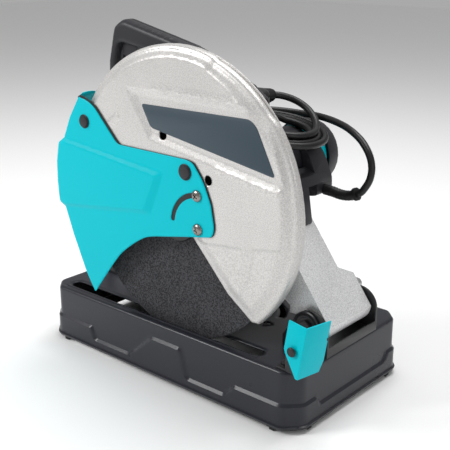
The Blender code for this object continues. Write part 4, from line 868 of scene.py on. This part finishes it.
def handle():
    """Two moulded shells; every outer edge is rounded, and they meet on the split plane."""
    outline = stepped(eased(HANDLE_OUTLINE, 0.012, 6), 0.006)
    opening = stepped(eased(HANDLE_OPENING, 0.011, 6), 0.005)
    for side, name in ((-1, "near"), (1, "far")):
        def place(flat):
            edge = np.minimum(distance(flat, outline), distance(flat, opening))
            height = HANDLE_HALF - HANDLE_ROUND + rolled(edge, HANDLE_ROUND)
            return [(x, HANDLE_Y + side * h, z) for (x, z), h in zip(flat, height)]

        bm = sheet(outline, place, [opening], spacing=0.0030)
        low = HANDLE_Y + side * 0.00015
        for loop in (outline, opening):
            bridge(bm, edge_vertices(bm, loop), [bm.verts.new((x, low, z)) for x, z in loop])
        bmesh.ops.recalc_face_normals(bm, faces=bm.faces)
        shell = shown(f"handle_{name}_moulded", bm, "black_plastic", "arm", (f"handle_{name}",), sharp=55)
        thicken(shell, HANDLE_WALL)


# ---- the cord ----
CORD_ROUTE = (
    (0.1969, 0.0650, 0.2745), (0.2008, 0.0652, 0.2768), (0.2058, 0.0660, 0.2838), (0.2112, 0.0678, 0.2952),
    (0.2124, 0.0700, 0.3092), (0.2082, 0.0730, 0.3220), (0.1995, 0.0770, 0.3330),
    (0.1858, 0.0830, 0.3430), (0.1669, 0.0910, 0.3506), (0.1440, 0.1015, 0.3552),
    (0.1138, 0.1125, 0.3580), (0.0870, 0.1165, 0.3596), (0.0620, 0.1145, 0.3602),
    (0.0400, 0.1045, 0.3622), (0.0225, 0.0880, 0.3645), (0.0112, 0.0675, 0.3665),
    (0.0075, 0.0450, 0.3678), (0.0090, 0.0235, 0.3676),
)
RELIEF_ROUTE = (
    (0.1418, 0.0650, 0.2700), (0.1540, 0.0650, 0.2693), (0.1695, 0.0650, 0.2675),
    (0.1830, 0.0650, 0.2688), (0.1950, 0.0650, 0.2736),
)
COIL_PLACE = Matrix.Translation((0.0813, 0.039, 0.3469)) @ Matrix.Rotation(math.radians(12), 4, "Y")
PLUG_PLACE = COIL_PLACE @ Matrix.Translation((-0.0500, 0.0120, 0.0345)) @ Matrix.Rotation(math.pi / 2, 4, "X")


def through(points, spacing):
    """Evenly spaced points on a smooth curve through the given points."""
    points = [Vector(p) for p in points]
    ends = [points[0] * 2 - points[1]] + points + [points[-1] * 2 - points[-2]]
    fine = []
    for i in range(1, len(ends) - 2):
        fine += curve_between(*ends[i - 1:i + 3], 20)
    fine.append(points[-1])
    length = sum((q - p).length for p, q in zip(fine, fine[1:]))
    count = max(2, round(length / spacing))
    route, travelled, target = [fine[0]], 0.0, length / count
    for p, q in zip(fine, fine[1:]):
        step = (q - p).length
        while travelled + step >= target - 1e-9 and len(route) < count:
            route.append(p.lerp(q, (target - travelled) / step))
            target += length / count
        travelled += step
    return route + [fine[-1]]


def shift(angle, start, end, low, high):
    """A smooth change from low to high while the angle goes from start to end."""
    t = min(1.0, max(0.0, (angle - start) / (end - start)))
    return low + (high - low) * t * t * (3 - 2 * t)


COIL_START, COIL_END = 204, 1580                  # degrees along the coil
COIL_RADIUS, COIL_HEIGHT = 0.0760, 0.0052         # centreline where the coil starts
MOVES_IN = ((192, 262, 0.0140), (557, 620, 0.0100), (917, 980, 0.0100))   # from, to, how far
ON_TOP = 1200                                     # where the last turn climbs onto the one below
OVER_STEP, STEP_WIDTH = 1277, 63                  # where it rides over a turn that moves in
TO_PLUG = 1470                                    # where it leaves the coil


def coil_point(angle):
    """The coil's centreline at an angle in degrees, in the coil's own frame: three turns that
    wind inwards side by side, one on top of them, and the way up to the plug."""
    radius, height = COIL_RADIUS, COIL_HEIGHT
    for start, end, inwards in MOVES_IN:
        radius += shift(angle, start, end, 0, -inwards)
    if angle > ON_TOP:
        climb = math.radians(min(60.0, angle - ON_TOP))
        radius = 0.052 - 2 * CORD_RADIUS * math.cos(climb)
        height += 0.0101 * math.sin(climb)
    if OVER_STEP < angle < OVER_STEP + STEP_WIDTH:
        height += 0.0014 * math.sin(math.pi * (angle - OVER_STEP) / STEP_WIDTH)
    if angle > TO_PLUG:
        radius += shift(angle, TO_PLUG, TO_PLUG + 90, 0, 0.0118)
        height += shift(angle, TO_PLUG, TO_PLUG + 108, 0, 0.0208)
    return Vector((*polar((0, 0), radius, angle), height))


def cord():
    """The mains lead as one curve, from inside its sleeve round the coil to the plug."""
    loose = [Vector(p) for p in RELIEF_ROUTE] + [Vector(p) for p in CORD_ROUTE]
    coil = [COIL_PLACE @ coil_point(angle) for angle in range(COIL_START, COIL_END, 6)]
    end = [PLUG_PLACE @ Vector((0, 0, z)) for z in (-0.018, -0.010)]
    route = [BASE @ p for p in through(loose + coil + end, 0.004)]
    curve = bpy.data.curves.new("cord", "CURVE")
    curve.dimensions = "3D"
    curve.bevel_depth = CORD_RADIUS
    curve.bevel_resolution = 5
    curve.use_fill_caps = True
    spline = curve.splines.new("POLY")
    spline.points.add(len(route) - 1)
    for point, place in zip(spline.points, route):
        point.co = (*place, 1)
    spline.use_smooth = True
    lead = linked("mains_cord", curve)
    curve.materials.append(FINISHES["rubber"])
    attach(lead, "arm")
    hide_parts("cord_lead", "cord_coil")
    relief, plug = strain_relief(), mains_plug()


def sleeve(route, radii, sides=24):
    """A round skin along a route with its own radius at each point, closed at both ends."""
    rings = []
    for i, (place, radius) in enumerate(zip(route, radii)):
        run = (route[min(i + 1, len(route) - 1)] - route[max(i - 1, 0)]).normalized()
        turn = run.to_track_quat("Z", "Y").to_matrix()
        rings.append([place + turn @ Vector((*p, 0)) for p in circle((0, 0), radius, sides)])
    return tube(rings)


def strain_relief():
    """The tapered sleeve with its end collar and shallow flex rings."""
    route = through(RELIEF_ROUTE, 0.0011)
    count = len(route) - 1
    radii = []
    for i in range(count + 1):
        t = i / count
        radius = 0.0076 - 0.0008 * t
        radius += 0.00022 * math.cos(math.tau * i / 4) * (0.15 < t < 0.85)
        if t > 0.915:
            radius = 0.0091
        radii.append(radius)
    return shown("strain_relief_sleeve", sleeve(route, radii), "rubber", "arm", ("strain_relief",), sharp=45)


def mains_plug():
    """A moulded two-pin plug: waisted grip with ribs, ringed neck, round pins."""
    sides = 32

    def loop(z, half_x, half_y, power=3.2):
        points = []
        for k in range(sides):
            a = math.tau * k / sides
            c, s = math.cos(a), math.sin(a)
            points.append((half_x * math.copysign(abs(c) ** (2 / power), c),
                           half_y * math.copysign(abs(s) ** (2 / power), s), z))
        return points

    sections = [(-0.0200, 0.0078, 0.0078, 2), (-0.0198, 0.0084, 0.0084, 2)]
    for i in range(9):
        z = -0.0190 + i * 0.0022
        half = 0.0084 + 0.0028 * i / 8 + (0.0006 if i % 2 else -0.0004)
        sections.append((z, half, half, 2.2))
    sections += [(0.0005, 0.0125, 0.0120, 2.6), (0.0060, 0.0142, 0.0125, 3.0),
                 (0.0150, 0.0136, 0.0118, 3.2), (0.0240, 0.0146, 0.0128, 3.4),
                 (0.0320, 0.0149, 0.0134, 3.6), (0.0334, 0.0145, 0.0130, 3.6), (0.0340, 0.0138, 0.0124, 3.6)]
    bm = tube([loop(*section) for section in sections])
    bmesh.ops.transform(bm, matrix=PLUG_PLACE, verts=bm.verts)
    plug = shown("plug_moulded", bm, "rubber", "arm", ("cord_plug",), sharp=50)
    for side, name in ((-1, "a"), (1, "b")):
        pin = lathe([(0, 0.033), (0.0024, 0.033), (0.0024, 0.0505), (0.0019, 0.0515), (0, 0.0520)], 20)
        place = PLUG_PLACE @ Matrix.Translation((side * 0.0095, 0, 0))
        bmesh.ops.transform(pin, matrix=place, verts=pin.verts)
        made = shown("plug_pin_" + name, pin, "steel", "arm")
        world = made.matrix_world.copy()
        made.parent = plug
        made.matrix_world = world
    return plug


# ---- the wheel ----
def wheel():
    """The bonded disc: worn rim, a woven ring near the hub and the blotter the flanges press on."""
    radius, near, far = 0.1775, -0.1035, -0.1005
    bore, blotter, blotter_foot, grit = 0.0130, 0.0395, 0.0400, 0.0450
    steps = 160
    profile = [(bore, near), (blotter, near), (blotter_foot, near + 0.0003)]
    profile += [(r, near + 0.0003 - 0.0001 * (k % 2))
                for k, r in enumerate(np.linspace(grit, radius - 0.002, 24))]
    profile += [(radius - 0.0006, near + 0.0005), (radius, near + 0.0011), (radius, far - 0.0009),
                (radius - 0.0006, far - 0.0003)]
    profile += [(r, far - 0.0002) for r in np.linspace(radius - 0.002, grit, 12)]
    profile += [(blotter_foot, far - 0.0002), (blotter, far), (bore, far)]
    bm = bmesh.new()
    rng = np.random.default_rng(7)
    rings = []
    for r, y in profile:
        rough = 0.00012 if r > grit else 0.0
        inward = 1 if y < (near + far) / 2 else -1
        ring = []
        for i in range(steps):
            turn = math.tau * i / steps
            x = SPINDLE[0] + (r + rng.uniform(-rough, rough)) * math.cos(turn)
            z = SPINDLE[1] + r * math.sin(turn)
            ring.append(bm.verts.new((x, y + rng.uniform(0, rough) * inward, z)))
        rings.append(ring)
    for first, second in zip(rings, rings[1:] + rings[:1]):
        bridge(bm, first, second)
    bmesh.ops.recalc_face_normals(bm, faces=bm.faces)
    shown("abrasive_wheel_disc", bm, "abrasive", "spindle", ("abrasive_wheel",))


# ---- small fasteners ----
def pivot_cap():
    """The round cover on the near ear of the pivot, with its rolled rim, round the shaft's own head."""
    profile = [(0, -0.0004), (0.0200, -0.0004), (0.0205, 0.0004), (0.0205, 0.0030), (0.0198, 0.0042),
               (0.0188, 0.0046), (0.0176, 0.0043), (0.0164, 0.0030), (0.0150, 0.0026), (0.0128, 0.0026),
               (0.0122, 0.0032), (0.0114, 0.0032), (0, 0.0032)]
    made = set_at(lathe(profile, 48), (PIVOT[0], -0.0622, PIVOT[1]), "-Y")
    shown("pivot_cap", made, "black_steel", "base")


def deflector_bolt():
    """The round-headed bolt through the spark plate."""
    low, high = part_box("deflector_bolt")
    middle = (Vector(low) + Vector(high)) / 2
    dome = lathe([(0, 0.0), (0.0064, 0.0), (0.0064, 0.0007), (0.0058, 0.0016), (0.0044, 0.0022),
                  (0.0024, 0.0025), (0, 0.0026)], 32)
    shank = lathe([(0, -0.0060), (0.0031, -0.0060), (0.0031, 0.0004), (0, 0.0004)], 20)
    place = BASE.inverted() @ Vector((middle.x, low[1] + 0.0030, middle.z))
    made = set_at(merged(dome, shank), place, "-Y")
    shown("deflector_bolt_head", made, "black_steel", "base", ("deflector_bolt",))


def deck_bolts():
    """Hexagon heads on washers that hold the brackets to the pan, each turned its own way."""
    for name, x, y, rise in (("bracket_bolt_near", 0.182, -0.035, 0.0043),
                             ("bracket_bolt_far", 0.182, 0.035, 0.0043),
                             ("vise_bolt_near", -0.195, -0.010, 0.0058),
                             ("vise_bolt_far", -0.195, 0.050, 0.0058),
                             ("post_bolt", 0.2125, -0.1130, 0.0032)):
        made = set_at(hex_head(0.0062, 0.0050), (x, y, DECK + rise), "+Z", 0.3 + 11 * x)
        shown(name, made, "steel", "base", look="black_steel" if name == "post_bolt" else None)


# ---- everything else ----
def carried_nodes():
    """CAD nodes whose form is right keep it, with rounded edges where they show. The pivot shaft's
    head is blackened, unlike the rest of its slot."""
    rounded = {
        "foot_front_near": 0.0012, "foot_front_far": 0.0012, "foot_rear_near": 0.0012,
        "foot_rear_far": 0.0012, "pivot_bracket": 0.0010, "pivot_shaft": 0.0006, "arm_stop_bolt": 0.0004,
        "vise_nut_bracket": 0.0014, "fence_pivot_bolt": 0.0004, "deflector_post": 0.0005,
        "arm_casting": 0.0014, "gear_cover": 0.0010, "guard_back": 0.0008, "motor_housing": 0.0004,
        "motor_accent_band": 0.0004, "motor_end_cap": 0.0006, "cord_gland": 0.0014, "spindle_shaft": 0.0004,
        "inner_flange": 0.0005, "outer_flange": 0.0005, "wheel_bolt": 0.0006, "trigger": 0.0003,
        "lock_on_button": 0.0003, "spindle_lock_button": 0.0008, "fence": 0.0007, "lock_pin": 0.0008,
        "vise_jaw": 0.0012, "vise_crank": 0.0009, "spark_deflector": 0.0004,
    }
    for node, width in rounded.items():
        refined(node, width, 3, slot="black_steel" if node == "pivot_shaft" else None)
    for node, made in frame["nodes"].items():
        if not made.hide_render:
            made.data.materials.clear()
            made.data.materials.append(FINISHES[SLOT_OF[node]])


camera()
studio()
cord()
guard_cover()
guard_label()
front_guard()
guard_fittings()
base_pan()
handle()
wheel()
pivot_cap()
deflector_bolt()
deck_bolts()
carried_nodes()
